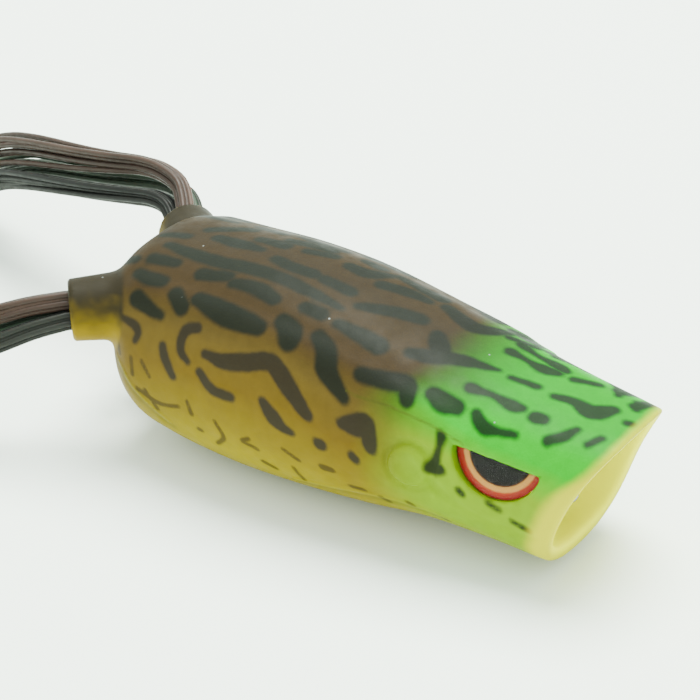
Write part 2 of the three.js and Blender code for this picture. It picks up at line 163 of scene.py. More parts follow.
def path_frames(path):
    """Unit tangents of a path, with two directions across it that don't twist."""
    tangents = np.gradient(path, axis=0)
    tangents /= np.linalg.norm(tangents, axis=1, keepdims=True)
    helper = np.array([0.0, 0.0, 1.0]) if abs(tangents[0][2]) < 0.9 else np.array([0.0, 1.0, 0.0])
    across = np.cross(tangents[0], helper)
    sides = []
    for tangent in tangents:
        across = unit(across - tangent * np.dot(across, tangent))
        sides.append(across)
    sides = np.array(sides)
    return tangents, sides, np.cross(sides, tangents)


def tube(path, radii, sides=10):
    """Closed round tube along a path, with rounded ends."""
    path = np.asarray(path, float)
    radii = np.broadcast_to(radii, len(path)).astype(float)
    tangents, first, second = path_frames(path)
    start, end = -0.5 * tangents[0] * radii[0], 0.5 * tangents[-1] * radii[-1]
    cap = [(0.35, 0.62), (0.72, 0.93)]         # share of the way from tip to end, share of the radius
    rings = [(path[0] + start * (1 - a), first[0], second[0], radii[0] * b) for a, b in cap]
    rings += list(zip(path, first, second, radii))
    rings += [(path[-1] + end * (1 - a), first[-1], second[-1], radii[-1] * b) for a, b in reversed(cap)]
    turn = np.arange(sides) * 2 * math.pi / sides
    vertices = [np.outer(np.cos(turn), f) * r + np.outer(np.sin(turn), s) * r + c
                for c, f, s, r in rings]
    faces = ring_faces(len(rings), sides)
    tip = len(rings) * sides
    for i in range(sides):
        j = (i + 1) % sides
        faces.append([tip, j, i])
        faces.append([tip + 1, tip - sides + i, tip - sides + j])
    return np.vstack(vertices + [path[0] + start, path[-1] + end]), faces


def revolve(profile, origin, axis, segments=72):
    """Solid of revolution from (radius, height) pairs along an axis from an origin.
    A profile that starts and ends off the axis closes on itself."""
    axis = unit(axis)
    helper = np.array([0.0, 0.0, 1.0]) if abs(axis[2]) < 0.9 else np.array([1.0, 0.0, 0.0])
    first = unit(np.cross(helper, axis))
    second = np.cross(axis, first)
    turn = np.arange(segments) * 2 * math.pi / segments
    around = np.outer(np.cos(turn), first) + np.outer(np.sin(turn), second)
    vertices, rows = [], []
    for radius, height in profile:
        centre = np.asarray(origin, float) + axis * height
        if radius < 1e-9:
            rows.append([len(vertices)] * segments)
            vertices.append(centre)
        else:
            rows.append(list(range(len(vertices), len(vertices) + segments)))
            vertices.extend(centre + around * radius)
    closed = profile[0][0] > 1e-9 and profile[-1][0] > 1e-9
    faces = []
    for k in range(len(rows) if closed else len(rows) - 1):
        a, b = rows[k], rows[(k + 1) % len(rows)]
        for i in range(segments):
            j = (i + 1) % segments
            face = [a[i], a[j], b[j], b[i]]
            face = [v for n, v in enumerate(face) if v != face[n - 1]]
            if len(face) > 2:
                faces.append(face)
    return np.array(vertices), faces


def rounded(profile, radius=0.15, points=4):
    """Rounds the corners of a profile of (radius, height) pairs, apart from its two ends."""
    profile = [np.array(p, float) for p in profile]
    found = [profile[0]]
    for before, corner, after in zip(profile, profile[1:], profile[2:]):
        reach = min(radius, np.linalg.norm(before - corner) * 0.45, np.linalg.norm(after - corner) * 0.45)
        start = corner + unit(before - corner) * reach
        end = corner + unit(after - corner) * reach
        for t in np.linspace(0, 1, points):
            found.append((1 - t) ** 2 * start + 2 * t * (1 - t) * corner + t * t * end)
    found.append(profile[-1])
    return [tuple(p) for p in found]


# ------------------------------------------------------------------ legs
# Middle line of each leg, in the lure's own millimetres.
LEG_LINES = {
    "right": [
        (-5.9, -11.3, 16.9), (-8.8, -13.7, 16.2), (-12.0, -16.1, 14.9), (-15.4, -18.2, 13.5),
        (-19.0, -19.9, 12.0), (-22.7, -21.2, 10.5), (-26.4, -22.3, 9.0), (-30.0, -23.2, 7.7),
        (-33.7, -23.9, 6.6), (-37.5, -24.5, 5.6), (-41.4, -25.0, 4.8), (-45.4, -25.4, 4.2),
        (-49.4, -25.7, 3.8), (-53.4, -25.9, 3.6), (-57.4, -26.0, 3.6), (-61.4, -26.0, 3.6),
    ],
    "left": [
        (-6.2, 11.6, 17.1), (-7.7, 13.3, 18.0), (-9.5, 14.6, 18.8), (-12.1, 15.3, 19.0),
        (-15.0, 15.7, 18.6), (-18.8, 15.9, 17.8), (-22.7, 16.3, 16.9), (-26.5, 16.9, 16.0),
        (-30.3, 17.6, 15.1), (-34.0, 18.4, 14.1), (-37.6, 19.2, 12.9), (-41.1, 19.9, 11.3),
        (-44.6, 20.5, 9.4), (-48.1, 21.0, 7.4), (-51.7, 21.4, 5.7), (-55.5, 21.7, 4.5),
        (-59.4, 21.9, 3.8),
    ],
}
BUNDLE_SPREAD = (1.3, 2.1, 2.5)    # from the leg's middle: in the socket, past it, and at the end
SPREAD_POINTS = 4                  # the leg opens out over this many points of its line
STRAND_RADIUS = 0.38
STRANDS = 9                        # in one colour's bundle
STRAND_SIDES = 8
STRAND_STEPS = 4                   # points of a strand for each point of its route
INSIDE_SOCKET = (1.7, 0.9)         # depths of the strands' first points behind the socket's mouth
SOCKET_AXIS = np.array([-0.77, 0.64, -0.05])
SOCKET_END = np.array([-5.4, 11.0, 16.9])
SIDES = {"right": -1.0, "left": 1.0}
LEG_COLOURS = ("brown", "green", "black")


def side_vector(vector, side):
    return np.array([vector[0], vector[1] * side, vector[2]])


def socket_axis(side):
    return side_vector(unit(SOCKET_AXIS), side)


def bundle_line(name, turn):
    """Route of one colour's strands: beside the leg's middle, at an angle from the top."""
    line = np.array(LEG_LINES[name])
    points = []
    for i, point in enumerate(line):
        along = unit(line[min(i + 1, len(line) - 1)] - line[max(i - 1, 0)])
        aside = unit(np.cross(along, (0, 0, 1)))
        up = np.cross(aside, along)
        spread = BUNDLE_SPREAD[0] + (BUNDLE_SPREAD[1] - BUNDLE_SPREAD[0]) * min(i / SPREAD_POINTS, 1)
        spread += (BUNDLE_SPREAD[2] - BUNDLE_SPREAD[1]) * i / (len(line) - 1)
        points.append(point + up * spread * math.cos(turn) + aside * spread * math.sin(turn))
    return np.array(points)


def strand(route, offset, random, shorten):
    """One rubber strand that follows a route, wanders a little and starts inside the socket."""
    share = route["share"]
    phase = random.uniform(0, 2 * math.pi, (2, 2))
    drift = random.uniform(-1.4, 1.4, 2)
    loosen = 0.74 + 0.5 * smoothstep(0.05, 0.9, share)
    wander = 0.85 * smoothstep(0.03, 0.75, share)
    path = route["points"].copy()
    for axis, (slow, quick) in enumerate(((4, 9), (3, 8))):
        sway = 0.5 * np.sin(share * slow + phase[axis, 0]) + 0.15 * np.sin(share * quick + phase[axis, 1])
        moved = offset[axis] * loosen + wander * (sway + 0.55 * drift[axis])
        path += route["sides"][axis] * moved[:, None]
    path[:, 2] = np.maximum(path[:, 2], STRAND_RADIUS * 1.05)
    return tube(to_frame(path[:len(path) - shorten]), STRAND_RADIUS * MM, STRAND_SIDES)


def packed_offsets(count):
    """Places of strands in a bundle, wound outward from its middle."""
    golden_turn = math.pi * (3 - math.sqrt(5))
    pitch = STRAND_RADIUS * 1.08
    return [(pitch * math.sqrt(k) * math.cos(k * golden_turn),
             pitch * math.sqrt(k) * math.sin(k * golden_turn)) for k in range(count)]


def make_leg_bundle(name, colour, turn, random):
    outside = catmull_rom(bundle_line(name, turn), STRAND_STEPS)
    inward = outside[0] - socket_axis(SIDES[name]) * np.array(INSIDE_SOCKET)[:, None]
    points = np.vstack([inward, outside])
    travelled = distance_along(points)
    route = {"points": points, "sides": path_frames(points)[1:], "share": travelled / travelled[-1]}
    parts = [strand(route, offset, random, int(random.integers(0, 3)))
             for offset in packed_offsets(STRANDS)]
    piece = mesh_object(f"leg_{colour}_{name}_strands", *join_parts(parts))
    tints = [np.full(len(vertices), random.uniform(0, 1)) for vertices, _ in parts]
    add_attribute(piece.data, "tint", np.concatenate(tints))
    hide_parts(f"leg_{colour}_{name}")
    return piece


def make_legs():
    random = np.random.default_rng(7)
    pieces = {}
    for name in SIDES:
        for index, colour in enumerate(LEG_COLOURS):
            turn = index * 2 * math.pi / 3
            pieces[name, colour] = make_leg_bundle(name, colour, turn, random)
    return pieces


def hang_legs(pieces):
    """Bakes each leg piece's placement into its mesh."""
    for (name, _), piece in pieces.items():
        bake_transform(piece)


# ------------------------------------------------------------------ shell as a distance field
# Stations of the shell: x, half width, height of the widest point, top, bottom,
# and the squareness of the upper and lower half, where 2 is an ellipse.
STATIONS = np.array([
    (-8, 10.8, 13.0, 23.3, 2.8, 2.9, 2.1), (0, 11.4, 12.8, 23.8, 1.6, 2.8, 2.1),
    (8, 12.2, 12.4, 24.6, 0.2, 2.5, 2.1), (16, 12.8, 12.2, 25.1, -0.2, 2.4, 2.1),
    (24, 12.7, 11.8, 24.5, -0.2, 2.5, 2.0), (32, 12.1, 11.0, 23.0, -0.1, 2.7, 1.8),
    (40, 11.2, 10.1, 21.2, 0.9, 3.0, 1.75), (48, 10.1, 9.7, 19.6, 1.4, 3.3, 2.1),
    (56, 9.2, 9.4, 18.5, 1.6, 3.4, 2.7), (64, 8.4, 9.2, 17.7, 1.8, 3.4, 2.7),
], float)
STATION_STEP = 8.0
WALL = 1.6
MOUTH_X, MOUTH_Z = 54.5, 2.5                   # the lower lip, above which the mouth leans forward
MOUTH_SLOPE, MOUTH_CURVE = 0.13, 0.0182
SLOT_HALF, SLOT_FRONT = 1.9, 7.5               # the belly slot that the hook's bends leave through
KEEL_HALF, KEEL_REAR, KEEL_FRONT = 2.5, 12.5, 23.0
KEEL_GAP = (0.4, 0.6, 1.6)                     # room round the keel: beside it, behind it, before it
KEEL_OPENING_TOP = 4.0
RUMP_X, RUMP_LENGTH = -3.2, 7.5
RUMP_POWER, RUMP_TOP_POWER = 2.5, 3.8
CUP_DEPTH, CUP_WALL = 6.4, 1.8
CAVITY_FRONT_X = 45.0
SOCKET_PROFILE = [(-1.0, 4.0), (0.0, 4.0), (8.25, 3.5), (8.5, 3.25)]
SOCKET_LENGTH = 8.5
SOCKET_BORE = 2.5
CHAMBER_RADIUS, CHAMBER_START, CHAMBER_END = 3.3, 8.3, 13.5
SHANK_Z = 7.0
NOSE_BORE = 2.95
EYE_RADIUS, EYE_CUT = 5.0, 0.7
EYE_CENTRE = np.array([48.9, 8.3, 14.8])
EYE_TILT, EYE_PITCH, EYE_YAW = 0.27, -0.09, 0.11
GRID = 0.36                                    # spacing of the field's samples, in millimetres
FIELD_BOX = ((-10.989, -16.489, -0.989), (62.011, 16.511, 27.011))   # off the shell's flat faces
FAR_AWAY = 9.0                                 # distance that stands for no mark near


def station(x, column):
    """Catmull-Rom value of one column of the station table."""
    place = (x - STATIONS[0, 0]) / STATION_STEP
    index = np.clip(np.floor(place).astype(int), 0, len(STATIONS) - 2)
    t = place - index
    values = STATIONS[:, column]
    a, b, c, d = (values[np.clip(index + k, 0, len(STATIONS) - 1)] for k in (-1, 0, 1, 2))
    return b + 0.5 * t * (c - a + t * (2 * a - 5 * b + 4 * c - d + t * (3 * (b - c) + d - a)))


def mouth_x(z):
    """Where the mouth's rim lies at a height."""
    rise = np.maximum(z - MOUTH_Z, 0.0)
    return MOUTH_X + MOUTH_SLOPE * rise + MOUTH_CURVE * rise * rise


def smooth_min(a, b, k):
    h = np.maximum(k - np.abs(a - b), 0.0) / k
    return np.minimum(a, b) - h * h * h * k / 6.0


def smooth_max(a, b, k):
    return -smooth_min(-a, -b, k)


def measure(x, y, z, columns):
    """1 on the shell's skin, smaller inside."""
    half_width, middle, top, bottom, upper_power, lower_power = columns
    upper = z >= middle
    height = np.where(upper, top - middle, middle - bottom)
    power = np.where(upper, upper_power, lower_power)
    across = np.abs(y / half_width)
    along = np.abs((z - middle) / height)
    section = (across ** power + along ** power) ** (1.0 / power)
    back = np.clip((RUMP_X + RUMP_LENGTH - x) / RUMP_LENGTH, 0.0, 3.0)
    rise = np.where(upper, (along / np.maximum(section, 1e-6)) ** (power / 2), 0.0)
    bluntness = RUMP_POWER + (RUMP_TOP_POWER - RUMP_POWER) * rise
    return (section ** bluntness + back ** bluntness) ** (1.0 / bluntness)


def skin_distance(x, y, z):
    """About how far a point lies outside the skin, in millimetres."""
    step = 0.05
    columns = [station(x, c) for c in range(1, 7)]
    value = measure(x, y, z, columns)
    grad_y = (measure(x, y + step, z, columns) - value) / step
    grad_z = (measure(x, y, z + step, columns) - value) / step
    ahead = [station(x + step, c) for c in range(1, 7)]
    grad_x = (measure(x + step, y, z, ahead) - value) / step
    size = np.sqrt(grad_x ** 2 + grad_y ** 2 + grad_z ** 2)
    return (value - 1.0) / np.maximum(size, 0.035)


def eye_basis(side):
    """Directions across the eye, up it and out of its face."""
    along = np.array([math.cos(EYE_PITCH), 0.0, math.sin(EYE_PITCH)])
    out = unit([math.sin(EYE_YAW), side * math.cos(EYE_TILT), math.sin(EYE_TILT)])
    across = -side * unit(along - out * np.dot(along, out))
    return across, np.cross(out, across), out


def component(x, y, z, origin, axis):
    """How far a point lies from an origin along an axis."""
    return (x - origin[0]) * axis[0] + (y - origin[1]) * axis[1] + (z - origin[2]) * axis[2]


def eye_local(x, y, z, side):
    """Place of a point on an eye: along its edge, up from it, and out of its face."""
    centre = side_vector(EYE_CENTRE, side)
    return [component(x, y, z, centre, axis) for axis in eye_basis(side)]


def socket_local(x, y, z, side):
    """Distance past a socket's foot along its axis, and distance from the axis."""
    end = side_vector(SOCKET_END, side)
    along = component(x, y, z, end, socket_axis(side))
    squared = (x - end[0]) ** 2 + (y - end[1]) ** 2 + (z - end[2]) ** 2
    radial = np.sqrt(np.maximum(squared - along ** 2, 0.0))
    return along + SOCKET_LENGTH, radial


# Lines on the skin as (x, girth), or as strokes of (x, girth, half width), where girth is the way
# round from the middle of the back.
BROW_LINE = [(32.5, 12.3), (34.4, 11.9), (36.5, 11.45), (38.5, 11.3), (41.7, 11.05), (46.0, 11.2)]
SEAM_LINES = [
    [(24.0, 28.5, 0.1), (28.5, 27.0, 0.12), (33.0, 25.0, 0.12), (37.0, 23.5, 0.12),
     (41.0, 22.5, 0.12), (45.0, 22.5, 0.1)],
    [(0.5, 18.5, 0.1), (1.5, 19.5, 0.12), (3.0, 21.5, 0.12), (5.0, 23.5, 0.12), (8.0, 25.8, 0.1)],
]


def girth_table():
    """Way round the section from the middle of the back, for each x and angle from the top."""
    xs = np.linspace(-8.0, 64.0, 145)
    angles = np.linspace(0.0, math.pi, 241)
    half_width, middle, top, bottom, upper_power, lower_power = (
        station(xs, c)[:, None] for c in range(1, 7))
    upper = angles <= math.pi / 2
    power = np.where(upper, upper_power, lower_power)
    height = np.where(upper, top - middle, middle - bottom)
    size = (np.abs(np.sin(angles)) ** power + np.abs(np.cos(angles)) ** power) ** (-1.0 / power)
    y = half_width * np.sin(angles) * size
    z = height * np.cos(angles) * size
    pieces = np.hypot(np.diff(y, axis=1), np.diff(z, axis=1))
    return xs, angles, np.concatenate([np.zeros((len(xs), 1)), np.cumsum(pieces, axis=1)], axis=1)


GIRTHS = girth_table()


def girth(x, y, z):
    """Signed way round the skin from the middle of the back, in millimetres."""
    xs, angles, lengths = GIRTHS
    middle = station(x, 2)
    height = np.where(z >= middle, station(x, 3) - middle, middle - station(x, 4))
    angle = np.arctan2(np.abs(y) / station(x, 1), (z - middle) / height)
    i = np.clip((x - xs[0]) / (xs[1] - xs[0]), 0, len(xs) - 1.001)
    j = np.clip(angle / (angles[1] - angles[0]), 0, len(angles) - 1.001)
    i0, j0 = i.astype(int), j.astype(int)
    fi, fj = i - i0, j - j0
    near = lengths[i0, j0] * (1 - fj) + lengths[i0, j0 + 1] * fj
    far = lengths[i0 + 1, j0] * (1 - fj) + lengths[i0 + 1, j0 + 1] * fj
    return (near * (1 - fi) + far * fi) * np.where(y >= 0, 1.0, -1.0)


def stroke_distance(u, v, strokes):
    """Distance outside the nearest stroke, negative inside it."""
    nearest = np.full(u.shape, FAR_AWAY)
    for points in strokes:
        for (ua, va, ra), (ub, vb, rb) in zip(points, points[1:]):
            du, dv = ub - ua, vb - va
            t = np.clip(((u - ua) * du + (v - va) * dv) / (du * du + dv * dv), 0.0, 1.0)
            gone = np.hypot(u - ua - t * du, v - va - t * dv) - (ra + t * (rb - ra))
            nearest = np.minimum(nearest, gone)
    return nearest


def capsule_mask(x, y, z, points, radius, soft):
    """1 near a polyline, falling to 0 beyond the radius."""
    nearest = np.full(x.shape, 1e9)
    for a, b in zip(points, points[1:]):
        d = np.subtract(b, a)
        t = np.clip(component(x, y, z, a, d) / np.dot(d, d), 0.0, 1.0)
        gone = (x - a[0] - t * d[0]) ** 2 + (y - a[1] - t * d[1]) ** 2 + (z - a[2] - t * d[2]) ** 2
        nearest = np.minimum(nearest, gone)
    return 1.0 - smoothstep(radius - soft, radius + soft, np.sqrt(nearest))


def relief(x, y, z):
    """Height of the moulded features above the plain skin."""
    height = np.zeros(x.shape)
    side_y = -np.abs(y)
    ear = np.sqrt((x - 39.5) ** 2 + ((z - 12.2) * 1.02) ** 2 + ((side_y + 11.3) * 0.4) ** 2)
    height += 0.42 * (1.0 - smoothstep(2.0, 2.5, ear))
    height -= 0.16 * (1.0 - smoothstep(0.9, 1.5, ear))
    height -= 0.28 * np.exp(-((ear - 2.75) / 0.38) ** 2)
    jaw = [(42.2, -11.0, 10.6), (44.6, -10.9, 9.0), (48.8, -10.4, 7.5), (53.6, -9.7, 7.1)]
    height -= 0.5 * capsule_mask(x, side_y, z, jaw, 0.45, 0.5)
    shoulder = [(3, -9.0, 21.3), (12, -9.7, 21.5), (22, -9.6, 20.9), (32, -9.0, 19.3), (41, -8.4, 17.4)]
    height += 0.45 * capsule_mask(x, side_y, z, shoulder, 1.4, 1.4)
    around = np.abs(girth(x, y, z))
    above = np.interp(x, *zip(*BROW_LINE)) - around
    brow = smoothstep(-0.12, 0.16, above) * (1.0 - smoothstep(0.3, 3.6, above))
    height += 0.42 * brow * smoothstep(31.0, 40.0, x) * (1.0 - smoothstep(45.0, 46.5, x))
    seam = stroke_distance(x, around, SEAM_LINES)
    height += 0.10 * (1.0 - smoothstep(0.0, 0.22, seam))
    return height


def shell_field(x, y, z):
    """Distance field of the whole soft shell, negative in the rubber."""
    skin = skin_distance(x, y, z)
    near = np.abs(skin) < 3.0
    shell = skin.copy()
    shell[near] -= relief(x[near], y[near], z[near])
    leg_ways = []
    for side in SIDES.values():
        along, radial = socket_local(x, y, z, side)
        outer = radial - np.interp(along, *zip(*SOCKET_PROFILE))
        post = smooth_max(outer, along - SOCKET_LENGTH, 0.35)
        post = np.maximum(post, -2.5 - along)
        shell = smooth_min(shell, post, 1.6)
        depth = SOCKET_LENGTH - along
        bore = np.maximum(radial - SOCKET_BORE, depth - CHAMBER_END)
        chamber = np.maximum(radial - CHAMBER_RADIUS,
                             np.maximum(CHAMBER_START - depth, depth - CHAMBER_END))
        leg_ways.append(np.minimum(bore, chamber))
    shell = smooth_max(shell, x - mouth_x(z), 0.9)
    hollow = smooth_max(skin + WALL, x - CAVITY_FRONT_X, 4.0)
    shell = smooth_max(shell, -hollow, 0.3)
    cup = smooth_max(skin + CUP_WALL, mouth_x(z) - CUP_DEPTH - x, 4.5)
    shell = smooth_max(shell, -cup, 1.3)
    for way in leg_ways:
        shell = smooth_max(shell, -way, 0.5)
    nose = np.sqrt(y ** 2 + (z - SHANK_Z) ** 2) - NOSE_BORE
    nose = np.maximum(nose, np.maximum(CAVITY_FRONT_X - 5 - x, x - 52))
    shell = smooth_max(shell, -nose, 0.35)
    slot = np.maximum(np.abs(y) - SLOT_HALF, np.maximum(x - SLOT_FRONT, z - SHANK_Z - 1.2))
    beside, behind, before = KEEL_GAP
    lengthwise = np.maximum(KEEL_REAR - behind - x, x - KEEL_FRONT - before)
    keel = np.maximum(np.maximum(np.abs(y) - KEEL_HALF - beside, lengthwise), z - KEEL_OPENING_TOP)
    shell = smooth_max(shell, -np.minimum(slot, keel), 0.6)
    for side in SIDES.values():
        across, up, out = eye_local(x, y, z, side)
        disc = np.sqrt(across ** 2 + (up - EYE_CUT) ** 2) - (EYE_RADIUS + 0.15)
        plate = np.maximum(smooth_max(disc, up - 0.15, 0.5), np.abs(out - 2.55) - 3.45)
        shell = smooth_max(shell, -plate, 0.35)
    return smooth_max(shell, -z, 0.3)


def surface_nets(values, origin, step):
    """Quads of the zero surface of a sampled field, one vertex in each cell that it crosses."""
    inside = values < 0
    shape = np.array(values.shape) - 1
    corners = list(itertools.product((0, 1), repeat=3))
    filled = sum(inside[i:i + shape[0], j:j + shape[1], k:k + shape[2]].astype(int) for i, j, k in corners)
    cells = np.argwhere((filled > 0) & (filled < 8))
    number = np.full(shape, -1)
    number[tuple(cells.T)] = np.arange(len(cells))
    total, crossings = np.zeros((len(cells), 3)), np.zeros(len(cells))
    for axis, start in itertools.product(range(3), corners):
        if start[axis]:
            continue
        way = np.eye(3, dtype=int)[axis]
        a = values[tuple((cells + start).T)]
        b = values[tuple((cells + start + way).T)]
        crossed = (a < 0) != (b < 0)
        share = a / np.where(crossed, a - b, 1.0)
        total += (np.array(start) + np.outer(share, way)) * crossed[:, None]
        crossings += crossed
    vertices = origin + (cells + total / crossings[:, None]) * step
    faces = []
    for axis in range(3):
        others = [a for a in range(3) if a != axis]
        low = np.moveaxis(inside, axis, 0)
        change = np.argwhere(low[:-1] != low[1:])
        cell = np.insert(change[:, 1:], axis, change[:, 0], axis=1)
        across = cell[:, others]
        cell = cell[((across > 0) & (across < shape[others])).all(axis=1)]
        ring = []
        for back in ((1, 1), (0, 1), (0, 0), (1, 0)):
            shifted = cell.copy()
            shifted[:, others] -= back
            ring.append(number[tuple(shifted.T)])
        quads = np.stack(ring, axis=1)
        flip = inside[tuple(cell.T)] ^ (axis == 1)
        quads[~flip] = quads[~flip][:, ::-1]
        faces.append(quads)
    return vertices, np.concatenate(faces)


def project(vertices, field, rounds=3, step=0.04, limit=0.25):
    """Moves vertices onto the field's zero surface."""
    for _ in range(rounds):
        x, y, z = vertices.T
        value = field(x, y, z)
        slope = np.stack([
            (field(x + step, y, z) - value) / step,
            (field(x, y + step, z) - value) / step,
            (field(x, y, z + step) - value) / step,
        ], axis=1)
        size = np.maximum((slope ** 2).sum(axis=1), 0.2)
        move = -slope * (value / size)[:, None]
        length = np.linalg.norm(move, axis=1)
        move *= np.minimum(1.0, limit / np.maximum(length, 1e-9))[:, None]
        vertices = vertices + move
    return vertices


def field_mesh(field, low, high, grid):
    """Vertices and faces of a field's zero surface inside a box."""
    axes = [np.arange(a, b, grid) for a, b in zip(low, high)]
    x, y, z = np.meshgrid(*axes, indexing="ij")
    vertices, faces = surface_nets(field(x, y, z), np.array(low), grid)
    return project(vertices, field), faces


# ------------------------------------------------------------------ paint
# Painted marks on the skin, as strokes of (x, girth, half width) in millimetres. Girth is the way
# round from the middle of the back, negative on the lure's right.
SKIN_BAND = 0.75                               # points this near the plain skin carry the marks
HEAD_MARKS = [
    [(35.8, -5.0, 0.7), (37.6, -4.2, 1.0), (39.0, -3.2, 1.0), (41.5, -1.9, 0.8), (44.2, -0.9, 0.25)],
    [(36.4, -0.6, 0.7), (37.4, -2.0, 1.1), (38.4, -3.0, 1.0)],
    [(34.5, 4.6, 0.8), (37.5, 3.7, 1.1), (39.2, 4.2, 1.0), (41.0, 6.4, 0.6)],
    [(43.4, 2.9, 0.75), (45.4, 2.9, 0.4), (47.4, 2.8, 0.85), (49.0, 3.3, 0.5)],
    [(45.8, -1.0, 0.42), (48.6, -0.4, 0.5)],
    [(43.4, -5.3, 0.75), (45.6, -4.8, 0.42), (48.1, -4.8, 0.8), (49.2, -4.5, 0.5)],
    [(40.4, -8.1, 0.8), (41.8, -8.3, 1.15), (43.3, -8.1, 0.85)],
    [(45.4, -7.7, 0.5), (46.8, -8.6, 0.75), (48.4, -8.3, 0.4), (50.2, -7.8, 0.36)],
    [(51.1, -4.8, 0.85), (51.7, -4.6, 0.8)],
    [(50.8, -0.6, 0.5), (53.0, 0.0, 0.7), (55.3, -0.4, 1.25), (56.7, 1.4, 0.75)],
    [(50.8, 3.6, 0.55), (53.2, 4.8, 0.5)],
    [(55.4, 5.6, 0.9), (56.4, 7.2, 0.8)],
    [(58.2, 3.8, 0.75), (58.8, 6.0, 0.7)],
    [(59.0, 0.4, 0.5), (59.4, 0.5, 0.45)],
    [(53.6, -6.8, 0.6), (54.8, -5.6, 0.6), (55.5, -3.9, 0.4)],
    [(57.5, -5.2, 0.4), (58.2, -3.6, 0.42)],
    [(41.8, 5.4, 0.5), (44.6, 6.6, 0.5)],
    [(46.8, 6.7, 0.5), (50.6, 8.2, 0.6)],
    [(42.8, -11.6, 0.5), (42.7, -13.2, 0.3), (42.5, -14.6, 0.5), (42.0, -15.8, 0.6), (43.1, -15.2, 0.55)],
    [(45.3, -16.7, 0.34), (45.6, -16.9, 0.36)],
    [(48.6, -16.5, 0.26), (49.8, -16.7, 0.3)],
    [(51.3, -17.3, 0.2), (53.3, -17.7, 0.28)],
]
BACK_MARKS = [
    [(-0.9, -6.4, 0.6), (0.3, -6.2, 0.6)],
    [(2.6, -3.0, 0.5), (6.0, -3.6, 0.8), (10.5, -3.9, 0.9), (17.0, -3.6, 0.9), (22.5, -3.9, 0.7),
     (26.4, -4.2, 0.3)],
    [(7.0, 0.4, 0.7), (10.0, 0.2, 0.9), (13.0, 0.1, 0.5)],
    [(11.4, 2.2, 0.6), (14.6, 2.3, 0.9)],
    [(15.8, -0.9, 0.7), (18.0, -1.3, 0.8), (20.6, -1.1, 0.8)],
    [(2.4, -5.7, 0.8), (5.6, -5.6, 0.6)],
    [(1.9, -8.1, 0.6), (3.8, -8.4, 0.8), (5.6, -8.4, 0.7)],
    [(9.4, -6.3, 0.8), (12.6, -5.7, 0.7)],
    [(13.8, -6.4, 0.6), (16.5, -6.1, 0.9), (19.2, -6.6, 0.8)],
    [(8.0, -9.4, 0.8), (9.4, -10.7, 0.9)],
    [(11.0, -9.4, 0.8), (14.5, -10.1, 1.3), (17.4, -10.3, 1.2), (19.4, -10.3, 0.9)],
    [(21.7, -8.7, 0.9), (23.0, -9.4, 1.3), (23.4, -10.4, 1.1)],
    [(23.0, -6.1, 0.7), (25.0, -6.0, 0.8)],
    [(3.4, -11.0, 0.9), (5.4, -11.7, 0.7), (7.0, -12.1, 0.45)],
    [(14.4, 3.9, 0.7), (19.0, 5.0, 0.9)],
    [(4.8, 1.8, 0.6), (9.0, 4.4, 0.7)],
    [(22.2, -1.2, 0.7), (25.6, -1.2, 0.8)],
    [(22.8, 3.0, 0.8), (25.0, 3.2, 1.0), (26.6, 5.0, 0.6)],
    [(27.6, -2.7, 0.5), (30.6, -1.0, 0.9), (33.6, 0.3, 0.9)],
    [(27.3, -6.2, 0.6), (30.0, -6.1, 0.9), (32.4, -6.2, 1.1)],
    [(26.2, -8.6, 0.8), (27.8, -9.6, 1.1), (28.7, -11.4, 1.2), (31.2, -13.1, 0.7)],
    [(32.4, -10.1, 0.75), (35.0, -9.4, 0.9), (37.4, -8.6, 1.0), (38.2, -10.0, 0.8)],
    [(27.4, 2.4, 0.8), (30.2, 3.6, 0.9), (32.4, 3.9, 0.5)],
    [(17.4, 2.6, 0.6), (20.2, 3.8, 0.7)],
    [(0.4, -1.0, 0.5), (3.4, -0.6, 0.6)],
]
FLANK_MARKS = [
    [(1.9, -13.4, 0.3), (3.6, -13.8, 0.45), (4.4, -14.6, 0.4), (4.0, -15.7, 0.25)],
    [(12.2, -12.4, 0.45), (10.7, -13.0, 0.5), (10.4, -15.2, 0.42), (11.6, -16.4, 0.3)],
    [(7.9, -15.3, 0.4), (8.5, -16.9, 0.5), (9.6, -18.6, 0.4)],
    [(13.3, -17.2, 0.42), (15.2, -18.8, 0.55), (17.6, -18.9, 0.5)],
    [(13.8, -15.0, 0.4), (16.5, -15.1, 0.8), (19.4, -14.2, 0.9), (22.0, -13.3, 0.9), (24.0, -14.4, 1.0),
     (26.0, -16.0, 0.95), (27.3, -17.0, 0.65)],
    [(21.8, -17.8, 0.45), (23.2, -19.2, 0.9), (24.4, -19.9, 0.6), (25.6, -20.1, 0.3)],
    [(31.5, -16.0, 0.55), (33.2, -15.4, 1.1), (34.4, -14.6, 0.9), (34.9, -16.6, 0.85), (35.0, -17.2, 0.5)],
    [(28.8, -19.8, 0.55), (29.2, -19.7, 0.55)],
    [(32.9, -19.2, 0.44), (33.3, -19.4, 0.46)],
]
